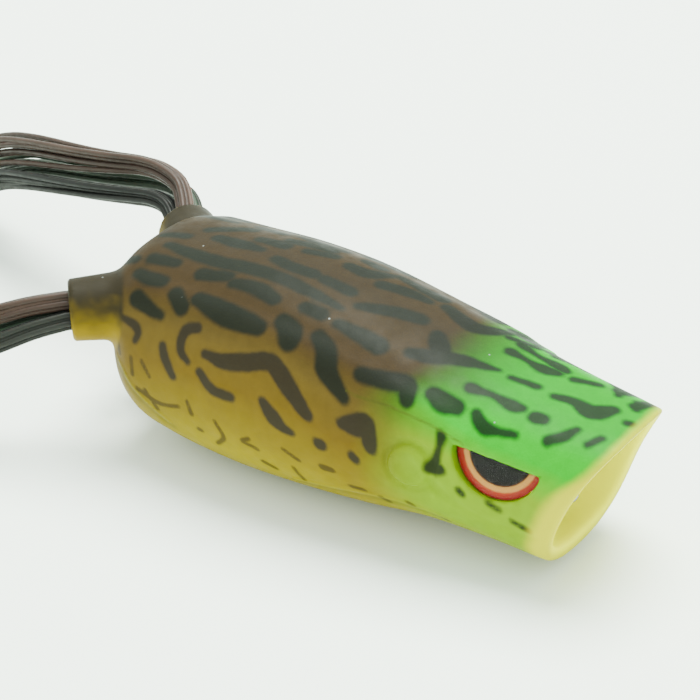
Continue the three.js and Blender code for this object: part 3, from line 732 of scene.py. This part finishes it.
THIN_MARKS = [
    [(1.1, -16.4, 0.2), (1.4, -18.0, 0.16)],
    [(3.4, -17.8, 0.16), (3.5, -20.0, 0.2)],
    [(5.0, -17.9, 0.2), (6.1, -19.6, 0.16)],
    [(4.0, -21.8, 0.22), (6.4, -22.8, 0.28), (8.0, -22.9, 0.2), (10.2, -22.4, 0.16)],
    [(5.2, -21.6, 0.16), (6.6, -24.0, 0.24)],
    [(11.5, -21.3, 0.14), (12.0, -22.9, 0.28)],
    [(12.6, -25.0, 0.26), (13.0, -25.1, 0.24)],
    [(15.3, -22.8, 0.16), (16.2, -24.8, 0.24), (14.8, -26.6, 0.18)],
    [(18.8, -24.3, 0.2), (20.7, -24.7, 0.22)],
    [(18.9, -24.1, 0.2), (19.8, -23.5, 0.18)],
    [(20.9, -26.8, 0.28), (22.2, -27.4, 0.3)],
    [(24.3, -22.9, 0.2), (26.1, -23.6, 0.18)],
    [(25.0, -25.4, 0.16), (25.6, -27.6, 0.24)],
    [(29.0, -22.9, 0.4), (30.2, -22.7, 0.36)],
    [(32.0, -24.4, 0.3), (33.6, -24.0, 0.26)],
    [(35.6, -24.2, 0.42), (36.0, -24.8, 0.36)],
    [(38.8, -22.6, 0.26), (39.4, -22.8, 0.22)],
    [(42.5, -23.0, 0.2), (42.9, -23.4, 0.26)],
]


def smooth_strokes(strokes):
    return [catmull_rom(points, 4) for points in strokes]


def other_side(strokes, along, around, random):
    """The same strokes on the left, each moved a little, since the two sides are painted by hand."""
    found = []
    for points in strokes:
        du, dv = random.uniform(-along, along), random.uniform(-around, around)
        found.append([(u + du, -v + dv, r) for u, v, r in points])
    return found


def paint_shell(piece, vertices):
    """Stores where each part of the pattern lies, and where the painted shade and highlight go, for the
    skin's material.
    """
    x, y, z = vertices.T
    signed = girth(x, y, z)
    around = np.abs(signed)
    depth = -skin_distance(x, y, z)
    random = np.random.default_rng(21)
    far_back = [s for s in BACK_MARKS + HEAD_MARKS if min(v for _, v, _ in s) < -5.0]
    far_flank = other_side(FLANK_MARKS, 1.2, 0.5, random)
    thick = BACK_MARKS + HEAD_MARKS + other_side(far_back, 0.9, 0.5, random)
    # Painted shade: a dark band just below each seam line, where the underside turns from the light.
    seam_shade_lines = [[(u, v + 0.75, 0.4) for u, v, _ in line] for line in SEAM_LINES]
    # Painted shade: a dark line along the brow's edge, the shadow under the ridge over the eye.
    brow = np.abs(np.interp(x, *zip(*BROW_LINE)) - around + 0.05)
    marks = {
        "mark_dark": stroke_distance(x, signed, smooth_strokes(thick)),
        "mark_flank": stroke_distance(x, signed, smooth_strokes(FLANK_MARKS + far_flank)),
        "mark_thin": stroke_distance(x, -around, smooth_strokes(THIN_MARKS)),
        # Painted highlight: a light line along each raised seam.
        "seam": stroke_distance(x, around, SEAM_LINES),
        "seam_shade": stroke_distance(x, around, seam_shade_lines),
        "brow": np.where((x > 31) & (x < 45.6), brow, FAR_AWAY),
    }
    outer = np.abs(depth) < SKIN_BAND
    mouth = mouth_x(z) - x
    in_cup = np.where(mouth < CUP_DEPTH + 3, depth, 0.0)
    from_rim = np.where(in_cup > SKIN_BAND, -1.0, mouth)
    sockets = [socket_local(x, y, z, side) for side in SIDES.values()]
    past = np.maximum(*(along - 4.0 * np.maximum(radial - 4.2, 0.0) for along, radial in sockets))
    stored = {name: np.where(outer, distance, FAR_AWAY) for name, distance in marks.items()}
    stored.update(along=x, around=around, height=z, inside=in_cup, from_rim=from_rim, socket=past)
    for name, values in stored.items():
        add_attribute(piece.data, name, values)


# ------------------------------------------------------------------ material helpers
class Surface:
    """A node material under construction."""

    def __init__(self, name, **settings):
        self.material = bpy.data.materials.new(name)
        self.material.use_nodes = True
        self.tree = self.material.node_tree
        self.shader = self.tree.nodes["Principled BSDF"]
        for socket, value in settings.items():
            self.set(socket.replace("_", " "), value)

    def assign(self, target, value):
        """Links an input to another node's output, or gives it a constant."""
        if isinstance(value, bpy.types.NodeSocket):
            self.tree.links.new(value, target)
        elif isinstance(value, tuple) and target.type == "RGBA":
            target.default_value = (*value, 1.0)
        else:
            target.default_value = value

    def set(self, socket, value):
        self.assign(self.shader.inputs[socket], value)

    def node(self, kind, inputs, output=0, **properties):
        made = self.tree.nodes.new(kind)
        for name, value in properties.items():
            setattr(made, name, value)
        for name, value in inputs.items():
            self.assign(made.inputs[name], value)
        return made.outputs[output]

    def place(self):
        return self.node("ShaderNodeTexCoord", {}, "Object")

    def attribute(self, name):
        return self.node("ShaderNodeAttribute", {}, "Fac", attribute_name=name)

    def math(self, operation, a, b=0.0, c=0.0):
        return self.node("ShaderNodeMath", {0: a, 1: b, 2: c}, operation=operation)

    def noise(self, size, detail=2.0):
        """Noise from 0 to 1 whose blotches are about the given size in millimetres."""
        return self.node("ShaderNodeTexNoise", {"Vector": self.place(), "Scale": 1.0 / (size * MM),
                                                "Detail": detail})

    def between(self, value, low, high, to_low=0.0, to_high=1.0):
        """Smooth step of a value from one range to another."""
        return self.node("ShaderNodeMapRange", {
            "Value": value, "From Min": low, "From Max": high, "To Min": to_low, "To Max": to_high,
        }, interpolation_type="SMOOTHSTEP")

    def mix(self, factor, a, b, blend="MIX"):
        return self.node("ShaderNodeMix", {0: factor, 6: a, 7: b}, 2, data_type="RGBA", blend_type=blend)

    def ramp(self, factor, stops):
        """Colour ramp through (place, colour) stops."""
        made = self.tree.nodes.new("ShaderNodeValToRGB")
        self.tree.links.new(factor, made.inputs[0])
        elements = made.color_ramp.elements
        while len(elements) < len(stops):
            elements.new(0.5)
        for element, (place, colour) in zip(elements, stops):
            element.position = place
            element.color = (*colour, 1.0)
        return made.outputs[0]

    def bump(self, *layers):
        """Bump from (height socket, distance in millimetres) layers."""
        normal = None
        for height, distance in layers:
            inputs = {"Height": height, "Distance": distance * MM, "Strength": 1.0}
            if normal is not None:
                inputs["Normal"] = normal
            normal = self.node("ShaderNodeBump", inputs)
        self.set("Normal", normal)


def paint_piece(piece, surface):
    piece.data.materials.clear()
    piece.data.materials.append(surface.material)


# ------------------------------------------------------------------ materials
# Linear colours, as reflected under the bright, soft light of light_room().
BROWN_BACK = (0.0170, 0.0115, 0.0052)
BROWN_SIDE = (0.026, 0.0160, 0.0060)
GOLD_BROWN = (0.078, 0.050, 0.009)
GOLD = (0.098, 0.059, 0.003)
YELLOW_FLANK = (0.145, 0.102, 0.002)
YELLOW_BELLY = (0.235, 0.185, 0.0)
TOP_GREEN = (0.0, 0.18, 0.0)
HEAD_GREEN = (0.0, 0.29, 0.0)
CHEEK_GREEN = (0.14, 0.24, 0.0)
JAW_YELLOW = (0.25, 0.255, 0.0)
MARK_BACK = (0.0065, 0.0085, 0.006)
MARK_HEAD = (0.006, 0.0075, 0.0055)
MARK_FLANK = (0.014, 0.0115, 0.008)
MARK_THIN = (0.028, 0.017, 0.003)
LIP_YELLOW = (0.44, 0.41, 0.0)
CUP_YELLOW = (0.74, 0.71, 0.0)
SOCKET_TOP = (0.0155, 0.0125, 0.007)
SOCKET_UNDER = (0.18, 0.118, 0.0)
SPECK = (0.22, 0.25, 0.24)
# Painted shade, for the band below the seams and the line under the brow.
PAINTED_SHADE = (0.045, 0.048, 0.004)
# Painted highlight, a light line along the raised seams.
SEAM_PAINTED_HIGHLIGHT = (0.30, 0.30, 0.02)


def shell_surface():
    s = Surface("soft_shell", Subsurface_Weight=0.14, Subsurface_Scale=0.0012,
                Specular_IOR_Level=0.05)
    s.set("Subsurface Radius", (1.0, 0.8, 0.4))
    blotch = s.noise(9.0, 3.0)
    grain = s.noise(1.3, 3.0)
    sway = s.math("MULTIPLY_ADD", blotch, 4.4, -2.2)
    along = s.math("ADD", s.attribute("along"), sway)
    around = s.math("ADD", s.attribute("around"), s.math("MULTIPLY", sway, 0.6))
    reach = s.math("DIVIDE", around, 32.0)
    body = s.ramp(reach, [
        (0.0, BROWN_BACK), (0.30, BROWN_SIDE), (0.42, GOLD_BROWN), (0.56, GOLD),
        (0.72, YELLOW_FLANK), (0.88, YELLOW_BELLY),
    ])
    head = s.ramp(reach, [
        (0.0, TOP_GREEN), (0.15, TOP_GREEN), (0.30, HEAD_GREEN), (0.42, CHEEK_GREEN), (0.66, CHEEK_GREEN),
        (0.84, JAW_YELLOW), (1.0, YELLOW_BELLY),
    ])
    nearer_top = s.between(s.attribute("around"), 14.0, 4.0, 0.0, 5.0)
    colour = s.mix(s.between(s.math("SUBTRACT", along, nearer_top), 32.0, 43.5), body, head)
    lightness = s.math("MULTIPLY_ADD", grain, 0.30, 0.86)
    shade = s.node("ShaderNodeCombineColor", {"Red": lightness, "Green": lightness, "Blue": lightness})
    colour = s.mix(1.0, colour, shade, "MULTIPLY")
    ripple = s.math("MULTIPLY_ADD", s.noise(1.5, 2.0), 0.36, -0.30)
    mark_colour = s.mix(s.between(along, 33.0, 42.0), MARK_BACK, MARK_HEAD)
    # Each layer: how ragged its edge is, the distances where it starts and is full, its strength
    #  and its colour. The last three are painted light: shade in a band below the seams, a highlight
    #  on the seams and shade under the brow.
    for name, ragged, start, full, strength, paint in (
        ("mark_dark", 1.0, 0.38, -0.34, 0.94, mark_colour),
        ("mark_flank", 1.0, 0.32, -0.26, 0.92, MARK_FLANK),
        ("mark_thin", 0.5, 0.24, -0.14, 0.8, MARK_THIN),
        ("seam_shade", 0.0, 0.5, -0.2, 0.3, PAINTED_SHADE),
        ("seam", 0.0, 0.16, -0.05, 0.25, SEAM_PAINTED_HIGHLIGHT),
        ("brow", 0.0, 0.3, 0.0, 0.55, PAINTED_SHADE),
    ):
        edge = s.math("MULTIPLY_ADD", ripple, ragged, s.attribute(name))
        colour = s.mix(s.between(edge, start, full, 0.0, strength), colour, paint)
    height = s.attribute("height")
    uneven = s.math("MULTIPLY_ADD", s.noise(3.0, 2.0), 4.0, -2.0)
    socket_colour = s.mix(s.between(s.math("ADD", height, uneven), 15.0, 19.6), SOCKET_UNDER, SOCKET_TOP)
    colour = s.mix(s.between(s.attribute("socket"), -0.5, 2.5), colour, socket_colour)
    reach_back = s.between(height, 12.5, 17.0, 2.1, 0.5)
    from_rim = s.math("ADD", s.attribute("from_rim"), s.math("MULTIPLY", ripple, 0.8))
    past = s.math("SUBTRACT", from_rim, reach_back)
    colour = s.mix(s.between(past, 1.1, -0.9), colour, LIP_YELLOW)
    colour = s.mix(s.between(s.attribute("inside"), 0.3, 1.6), colour, CUP_YELLOW)
    spread = {"Vector": s.place(), "Scale": 1.0 / (2.3 * MM)}
    speck = s.between(s.node("ShaderNodeTexVoronoi", spread, "Distance"), 0.065, 0.035)
    chosen = s.between(s.noise(3.1, 1.0), 0.50, 0.56)
    on_back = s.between(s.attribute("around"), 12.0, 8.0)
    speck = s.math("MULTIPLY", s.math("MULTIPLY", speck, chosen), on_back)
    colour = s.mix(s.math("MULTIPLY", speck, 0.7), colour, SPECK)
    s.set("Base Color", colour)
    s.set("Roughness", s.between(s.noise(2.2, 4.0), 0.25, 0.75, 0.40, 0.56))
    s.bump((s.noise(2.6, 3.0), 0.05), (s.noise(0.22, 2.0), 0.012))
    return s


def strand_surface(name, colour, streak):
    s = Surface(name, Subsurface_Weight=0.06, Subsurface_Scale=0.0008, Specular_IOR_Level=0.16)
    patches = s.math("MULTIPLY_ADD", s.attribute("tint"), 0.7, s.math("MULTIPLY", s.noise(5.0, 3.0), 0.5))
    base = s.mix(s.between(patches, 0.2, 1.0), colour, streak)
    s.set("Base Color", base)
    s.set("Roughness", s.between(s.noise(0.9, 3.0), 0.3, 0.7, 0.34, 0.52))
    s.bump((s.noise(0.7, 3.0), 0.03), (s.noise(0.12, 1.0), 0.008))
    return s


PUPIL, PUPIL_EDGE, CREAM_EDGE = (0.004, 0.0035, 0.0035), (0.005, 0.004, 0.0035), (0.10, 0.035, 0.01)
CREAM_IN, CREAM_OUT = (0.50, 0.22, 0.04), (0.56, 0.25, 0.05)
RED_IN, RED, RED_OUT = (0.34, 0.028, 0.010), (0.30, 0.016, 0.008), (0.17, 0.010, 0.006)


def iris_surface():
    s = Surface("eye_print", Specular_IOR_Level=0.1)
    ring = s.math("ADD", s.attribute("ring"), s.math("MULTIPLY_ADD", s.noise(0.5, 2.0), 0.14, -0.07))
    rings = s.ramp(s.math("DIVIDE", ring, 5.2), [
        (0.0, PUPIL), (0.665, PUPIL_EDGE), (0.70, CREAM_EDGE), (0.715, CREAM_IN),
        (0.80, CREAM_OUT), (0.845, RED_IN), (0.93, RED), (1.0, RED_OUT),
    ])
    # Painted shade: the print turns near black just below its flat top edge, where the lid's shadow falls.
    s.set("Base Color", s.mix(s.between(s.attribute("lid"), -0.55, -0.1), rings, (0.003, 0.003, 0.002)))
    s.set("Roughness", s.between(s.noise(0.4, 2.0), 0.3, 0.7, 0.28, 0.44))
    s.bump((s.noise(0.15, 1.0), 0.006))
    return s


def dome_surface():
    s = Surface("eye_dome", Base_Color=(0.98, 0.98, 0.97), Transmission_Weight=1.0, IOR=1.1)
    s.set("Roughness", s.between(s.noise(0.8, 3.0), 0.3, 0.7, 0.03, 0.10))
    s.bump((s.noise(0.9, 2.0), 0.004))
    return s


def metal_surface(name, colour, rough_low, rough_high, grain, bump):
    s = Surface(name, Metallic=1.0)
    patches = s.noise(grain * 4, 3.0)
    darker = tuple(c * 0.72 for c in colour)
    s.set("Base Color", s.mix(s.between(patches, 0.35, 0.65), darker, colour))
    s.set("Roughness", s.between(s.noise(grain, 4.0), 0.3, 0.7, rough_low, rough_high))
    s.bump((s.noise(grain, 4.0), bump))
    return s


def plastic_surface(name, colour, worn, rough_low, rough_high, transmission=0.0):
    s = Surface(name, Transmission_Weight=transmission)
    s.set("Base Color", s.mix(s.between(s.noise(2.0, 3.0), 0.35, 0.7), colour, worn))
    s.set("Roughness", s.between(s.noise(0.7, 3.0), 0.3, 0.7, rough_low, rough_high))
    s.bump((s.noise(0.35, 3.0), 0.01))
    return s


def floor_surface():
    s = Surface("floor_paper", Roughness=0.9)
    s.set("Base Color", s.mix(s.noise(60.0, 1.0), (0.84, 0.91, 0.85), (0.87, 0.94, 0.88)))
    s.bump((s.noise(0.5, 2.0), 0.004))
    return s


# ------------------------------------------------------------------ pieces
def finish_piece(piece, surface, body, slot, *nodes):
    """Gives a piece its material, hides the CAD nodes that it stands for and hangs it on the body that it
    rides on.
    """
    paint_piece(piece, surface)
    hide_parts(*nodes)
    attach(piece, body)


def add_piece(name, parts, body, surface, slot, *nodes):
    """One mesh piece from (vertices, faces) in the lure's millimetres."""
    vertices, faces = join_parts(parts)
    piece = mesh_object(name, to_frame(vertices), faces)
    finish_piece(piece, surface, body, slot, *nodes)
    return piece


def add_shell(surface):
    vertices, faces = field_mesh(shell_field, *FIELD_BOX, GRID)
    piece = mesh_object("shell_rubber", to_frame(vertices), faces)
    paint_shell(piece, vertices)
    finish_piece(piece, surface, "body", "soft_shell", "body_shell")


def eye_solid(side, grow, front, back):
    """D-shaped plate in an eye, with its front and back given as heights for a distance from the
    pupil's middle. Returns its vertices, faces and those distances."""
    radius = EYE_RADIUS + grow
    start = math.asin((grow - EYE_CUT) / radius)
    turns = np.linspace(math.pi - start, 2 * math.pi + start, 73)
    arc = np.stack([radius * np.cos(turns), EYE_CUT + radius * np.sin(turns)], axis=1)
    chord = np.array([0.0, grow])
    shares = np.linspace(0.0, 1.0, 23)[1:]
    flat = np.concatenate([[chord]] + [chord + s * (arc - chord) for s in shares])
    ring = np.hypot(flat[:, 0], flat[:, 1] - EYE_CUT)
    across, up, out = eye_basis(side)
    place = side_vector(EYE_CENTRE, side) + flat[:, :1] * across + flat[:, 1:] * up
    front_points = place + front(ring)[:, None] * out
    back_points = place + back(ring)[:, None] * out
    count, columns, rows = len(flat), len(turns), len(shares)
    faces = []
    for i in range(columns - 1):
        faces.append([0, 1 + i, 2 + i])
        for k in range(rows - 1):
            a = 1 + k * columns + i
            faces.append([a, a + columns, a + columns + 1, a + 1])
    back_faces = [[v + count for v in reversed(face)] for face in faces]
    rim = [0] + [1 + k * columns for k in range(rows)]
    rim += [1 + (rows - 1) * columns + i for i in range(1, columns)]
    rim += [1 + k * columns + columns - 1 for k in range(rows - 2, -1, -1)]
    sides = [[a, a + count, b + count, b] for a, b in zip(rim, rim[1:] + rim[:1])]
    vertices = np.vstack([front_points, back_points])
    return vertices, faces + back_faces + sides, np.tile(ring, 2), np.tile(flat[:, 1] - grow, 2)


EYE_GROW = 0.02                                # both eye plates reach this far past the eye's edge
PRINT_FRONT, PRINT_BACK = -0.15, -0.75         # heights above the eye's plane
DOME_EDGE, DOME_RISE, DOME_BACK = 0.12, 0.63, -0.08


def level(height):
    return lambda ring: np.full(len(ring), height)


def dome_height(ring):
    return DOME_EDGE + DOME_RISE * (1 - (ring / (EYE_RADIUS + EYE_GROW)) ** 2)


def add_eyes(iris, dome):
    for name, side in SIDES.items():
        vertices, faces, ring, lid = eye_solid(side, EYE_GROW, level(PRINT_FRONT), level(PRINT_BACK))
        piece = mesh_object(f"eye_print_{name}", to_frame(vertices), faces, smooth=False)
        add_attribute(piece.data, "ring", ring)
        # Height below the flat edge, for the painted shade under the lid.
        add_attribute(piece.data, "lid", lid)
        finish_piece(piece, iris, "body", "eye_print", f"eye_iris_{name}")
        vertices, faces, _, _ = eye_solid(side, EYE_GROW, dome_height, level(DOME_BACK))
        piece = mesh_object(f"eye_dome_{name}", to_frame(vertices), faces)
        finish_piece(piece, dome, "body", "eye_dome", f"eye_lens_{name}")


HOOK_BEND, HOOK_SPLAY, HOOK_REAR_X = 4.2, 0.5, -9.6
WIRE = 0.65
SHANK_HALF = 0.7
PIVOT_X, BUSHING_LENGTH = 47.2, 4.2
TIE_RING = 1.35
RATTLE_X, RATTLE_LENGTH, RATTLE_RADIUS = 27.5, 14.7, 2.2
RATTLE_Z = SHANK_Z + WIRE + 0.15 + RATTLE_RADIUS
RATTLE_BORE, RATTLE_BASE = 1.6, 0.9
BALL_RADIUS, BALL_START, BALL_PITCH, BALL_SINK = 1.34, 1.55, 2.85, 0.17
BANDS = {"rear": 29.7, "front": 38.4}
BAND_INNER, BAND_THICK, BAND_WIDTH = 2.35, 0.5, 1.4
BUSHING_INNER, BUSHING_OUTER = 1.85, 2.8


def hook_line():
    """The hook's wire from the left point round the bend, along the shank and round the tie ring."""
    bend_x = HOOK_REAR_X + HOOK_BEND + WIRE

    def lean(distance):
        return (SHANK_HALF + distance * math.sin(HOOK_SPLAY), SHANK_Z + distance * math.cos(HOOK_SPLAY))

    half = [(bend_x + 1.3, *lean(2 * HOOK_BEND + 0.1)), (bend_x + 0.3, *lean(2 * HOOK_BEND + 0.1))]
    for angle in np.linspace(math.pi / 2, math.pi * 1.5, 9):
        half.append((bend_x + HOOK_BEND * math.cos(angle), *lean(HOOK_BEND * (1 + math.sin(angle)))))
    half += [(bend_x + 2, SHANK_HALF, SHANK_Z), (5, SHANK_HALF, SHANK_Z), (20, SHANK_HALF, SHANK_Z)]
    half += [(35, SHANK_HALF, SHANK_Z), (PIVOT_X + 1, SHANK_HALF, SHANK_Z)]
    ring_x = PIVOT_X + BUSHING_LENGTH / 2 + TIE_RING + 1.0
    for angle in np.linspace(math.pi * 0.8, 0, 5):
        half.append((ring_x + TIE_RING * math.cos(angle), TIE_RING * math.sin(angle), SHANK_Z))
    return half + [(x, -y, z) for x, y, z in reversed(half[:-1])]


def add_hook(surface):
    path = catmull_rom(hook_line(), 6)
    travelled = distance_along(path)
    from_tip = np.minimum(travelled, travelled[-1] - travelled)
    radii = WIRE * np.clip(0.10 + 0.90 * (from_tip / 2.6) ** 0.8, 0.0, 1.0)
    parts = [tube(path, radii, 18)]
    for side in SIDES.values():
        tip = np.array(hook_line()[0 if side > 0 else -1])
        back = tip + np.array([-2.4, 0.0, 0.0])
        inward = np.array([0.0, -side * math.sin(HOOK_SPLAY), -math.cos(HOOK_SPLAY)])
        barb = [back + inward * 0.15, back + inward * 0.55 + (0.3, 0, 0),
                back + inward * 0.95 + (-0.35, 0, 0)]
        parts.append(tube(catmull_rom(barb, 4), np.linspace(0.34, 0.06, 9), 8))
    add_piece("hook_forged", parts, "hook", surface, "hook_wire", "double_hook")


def ring_band(x, half_y, low_z):
    """Rubber band round the rattle and the shank: a flat loop with rounded edges."""
    outline = [(math.cos(t) * BAND_INNER, RATTLE_Z + math.sin(t) * BAND_INNER)
               for t in np.linspace(0, math.pi, 25)]
    outline += [(-half_y, low_z), (half_y, low_z)]
    loop = np.array(outline + outline[:1])
    steps = [loop[0]]
    for a, b in zip(loop, loop[1:]):
        steps += [a + (b - a) * t for t in np.linspace(0, 1, 5)[1:]]
    loop = np.array(steps[:-1])
    ahead = np.roll(loop, -1, axis=0) - np.roll(loop, 1, axis=0)
    ahead /= np.linalg.norm(ahead, axis=1, keepdims=True)
    outward = np.stack([ahead[:, 1], -ahead[:, 0]], axis=1)
    section = []
    for turn in np.linspace(0, 2 * math.pi, 17)[:-1]:
        c, s = math.cos(turn), math.sin(turn)
        section.append((math.copysign(abs(c) ** 0.5, c) * BAND_WIDTH / 2,
                        (1 + math.copysign(abs(s) ** 0.5, s)) * BAND_THICK / 2))
    vertices = [(x + BAND_WIDTH / 2 + a, y + oy * b, z + oz * b)
                for (y, z), (oy, oz) in zip(loop, outward) for a, b in section]
    faces = ring_faces(len(loop), len(section), closed=True)
    return np.array(vertices), [[a, d, c, b] for a, b, c, d in faces]


def add_inner_parts(looks):
    """What the hook carries, and the bushing that it turns in."""
    def turned(name, profile, x, z, body, look, slot, node, segments=72):
        part = revolve(profile, (x, 0, z), (1.0, 0.0, 0.0), segments)
        add_piece(name, [part], body, looks[look], slot, node)

    case = [(0.0, 0.0), (RATTLE_RADIUS - 0.5, 0.0), (RATTLE_RADIUS, 0.5), (RATTLE_RADIUS, RATTLE_LENGTH),
            (RATTLE_BORE, RATTLE_LENGTH), (RATTLE_BORE, RATTLE_BASE), (0.0, RATTLE_BASE)]
    turned("rattle_case", rounded(case), RATTLE_X, RATTLE_Z, "hook", "rattle", "rattle_case", "rattle_tube")
    plug = [(0.0, -1.6), (1.45, -1.6), (1.45, 0.0), (RATTLE_RADIUS, 0.0), (RATTLE_RADIUS, 0.5),
            (1.2, 0.72), (0.0, 0.8)]
    turned("rattle_stopper", rounded(plug), RATTLE_X + RATTLE_LENGTH + 0.15, RATTLE_Z, "hook", "rattle",
           "rattle_case", "rattle_plug")
    arc = [(BALL_RADIUS * math.sin(t), -BALL_RADIUS * math.cos(t)) for t in np.linspace(0, math.pi, 25)]
    arc[0], arc[-1] = (0.0, -BALL_RADIUS), (0.0, BALL_RADIUS)
    for number in range(3):
        x = RATTLE_X + RATTLE_BASE + BALL_START + number * BALL_PITCH
        turned(f"rattle_shot_{number + 1}", arc, x, RATTLE_Z - BALL_SINK, f"ball_{number + 1}", "ball",
               "rattle_steel", f"rattle_ball_{number + 1}", 48)
    for name, x in BANDS.items():
        add_piece(f"rattle_tie_{name}", [ring_band(x, 1.5, SHANK_Z - 0.8)], "hook", looks["band"],
                  "band_rubber", f"rattle_band_{name}")
    half = BUSHING_LENGTH / 2
    bushing = [(BUSHING_INNER, -half), (BUSHING_OUTER, -half), (BUSHING_OUTER, half), (BUSHING_INNER, half)]
    turned("nose_sleeve", rounded(bushing, 0.3), PIVOT_X, SHANK_Z, "body", "bushing", "bushing",
           "nose_bushing")


KEEL_MIDDLE_Z, KEEL_CAP_HALF, KEEL_CAP_RADIUS = 3.1, 0.9, 1.6
KEEL_BOX, KEEL_GRID = ((11.5, -3.5, -0.5), (24.0, 3.5, 9.6)), 0.22


def keel_field(x, y, z):
    """Distance field of the cast keel weight, with the shank's channel through it."""
    beside = np.maximum(np.abs(y) - KEEL_CAP_HALF, 0.0)
    cap = np.hypot(beside, np.maximum(z - SHANK_Z, 0.0)) - KEEL_CAP_RADIUS
    lower = np.hypot(y, np.minimum(z - KEEL_MIDDLE_Z, 0.0)) - KEEL_HALF
    upper = np.maximum(np.abs(y) - KEEL_HALF, z - SHANK_Z)
    bar = np.where(z > SHANK_Z, cap, np.where(z < KEEL_MIDDLE_Z, lower, upper))
    middle, half_length = (KEEL_REAR + KEEL_FRONT) / 2, (KEEL_FRONT - KEEL_REAR) / 2
    bar = smooth_max(bar, np.abs(x - middle) - half_length, 1.2)
    seam = np.exp(-(y / 0.09) ** 2) * 0.07
    channel = np.maximum(np.abs(y) - 1.5, np.abs(z - SHANK_Z) - 0.8)
    return smooth_max(bar - seam, -channel, 0.25)


def add_keel(surface):
    vertices, faces = field_mesh(keel_field, *KEEL_BOX, KEEL_GRID)
    add_piece("keel_casting", [(vertices, faces.tolist())], "hook", surface, "keel_lead", "keel_weight")


ROOT_DEPTHS = (12.1, 1.95)                     # from the socket's mouth to the gathered ends' two ends
ROOT_FLARE = (10.2, 11.9)                      # depths over which they spread, behind the binding
ROOT_TINT = 0.4
BINDING = [(2.42, -9.9), (2.9, -9.9), (2.9, -8.5), (2.42, -8.5)]


def add_leg_roots(strand, band):
    """The strands' gathered ends inside each socket, and the band that binds them."""
    pitch = STRAND_RADIUS * 2.02
    spots = [(0.0, 0.0)]
    for count, reach in ((6, pitch), (12, pitch * 1.9)):
        spots += [(reach * math.cos(t), reach * math.sin(t)) for t in np.arange(count) * 2 * math.pi / count]
    for name, side in SIDES.items():
        axis = socket_axis(side)
        first = unit(np.cross(axis, (0, 0, 1)))
        second = np.cross(axis, first)
        mouth = side_vector(SOCKET_END, side)
        depth = np.linspace(*ROOT_DEPTHS, 14)[:, None]
        flare = 1.0 + 0.22 * smoothstep(*ROOT_FLARE, depth)
        parts = [tube(mouth - axis * depth + (first * u + second * v) * flare, STRAND_RADIUS, 10)
                 for u, v in spots]
        ends = add_piece(f"leg_ends_{name}", parts, "body", strand, "strand_brown", f"leg_root_{name}")
        add_attribute(ends.data, "tint", np.full(len(ends.data.vertices), ROOT_TINT))
        ring = revolve(rounded(BINDING, 0.2), mouth, axis)
        add_piece(f"leg_binding_{name}", [ring], "body", band, "band_rubber", f"leg_tie_{name}")


# ------------------------------------------------------------------ room
FLOOR_HALF, FLOOR_DROP = 3.0, 0.00005          # metres; the drop keeps the floor off the belly
ROOM_COLOUR, ROOM_STRENGTH = (0.90, 1.0, 0.92, 1.0), 2.5
LAMP_PLACE, LAMP_SIZE, LAMP_POWER, LAMP_COLOUR = (-0.05, 0.25, 0.75), 0.6, 26.0, (0.95, 1.0, 0.92)


def make_floor():
    corners = [(a * FLOOR_HALF, b * FLOOR_HALF, 0) for a, b in ((-1, -1), (1, -1), (1, 1), (-1, 1))]
    floor = mesh_object("floor", corners, [[0, 1, 2, 3]])
    floor.location.z = -FLOOR_DROP
    paint_piece(floor, floor_surface())


def light_room():
    world = bpy.data.worlds.new("room")
    world.use_nodes = True
    background = world.node_tree.nodes["Background"]
    background.inputs["Color"].default_value = ROOM_COLOUR
    background.inputs["Strength"].default_value = ROOM_STRENGTH
    bpy.context.scene.world = world
    data = bpy.data.lights.new("overhead", "AREA")
    data.shape = "DISK"
    data.size = LAMP_SIZE
    data.energy = LAMP_POWER
    data.color = LAMP_COLOUR
    lamp = bpy.data.objects.new("overhead", data)
    bpy.context.scene.collection.objects.link(lamp)
    lamp.location = LAMP_PLACE
    aim = Vector(LAMP_PLACE) - Vector((0, 0, 0.01))
    lamp.rotation_euler = aim.to_track_quat("Z", "Y").to_euler()


# ------------------------------------------------------------------ scene
make_camera()
legs = make_legs()
strands = {
    "brown": strand_surface("strand_brown", (0.026, 0.0155, 0.0115), (0.064, 0.038, 0.028)),
    "green": strand_surface("strand_green", (0.010, 0.0145, 0.0085), (0.034, 0.054, 0.034)),
    "black": strand_surface("strand_black", (0.004, 0.0042, 0.0036), (0.014, 0.015, 0.012)),
}
for (_, leg_colour), leg in legs.items():
    paint_piece(leg, strands[leg_colour])
hang_legs(legs)
add_shell(shell_surface())
add_eyes(iris_surface(), dome_surface())
add_hook(metal_surface("hook_wire", (0.20, 0.20, 0.22), 0.16, 0.34, 0.6, 0.006))
add_keel(metal_surface("keel_lead", (0.42, 0.43, 0.45), 0.45, 0.7, 0.5, 0.05))
band_rubber = plastic_surface("band_rubber", (0.02, 0.02, 0.022), (0.04, 0.04, 0.04), 0.55, 0.8)
add_inner_parts({
    "rattle": plastic_surface("rattle_case", (0.75, 0.78, 0.80), (0.66, 0.70, 0.74), 0.06, 0.2, 0.85),
    "ball": metal_surface("rattle_steel", (0.72, 0.73, 0.75), 0.08, 0.2, 0.4, 0.004),
    "band": band_rubber,
    "bushing": plastic_surface("bushing", (0.7305, 0.6308, 0.3515), (0.6105, 0.5149, 0.2623), 0.35, 0.55),
})
add_leg_roots(strands["brown"], band_rubber)
make_floor()
light_room()
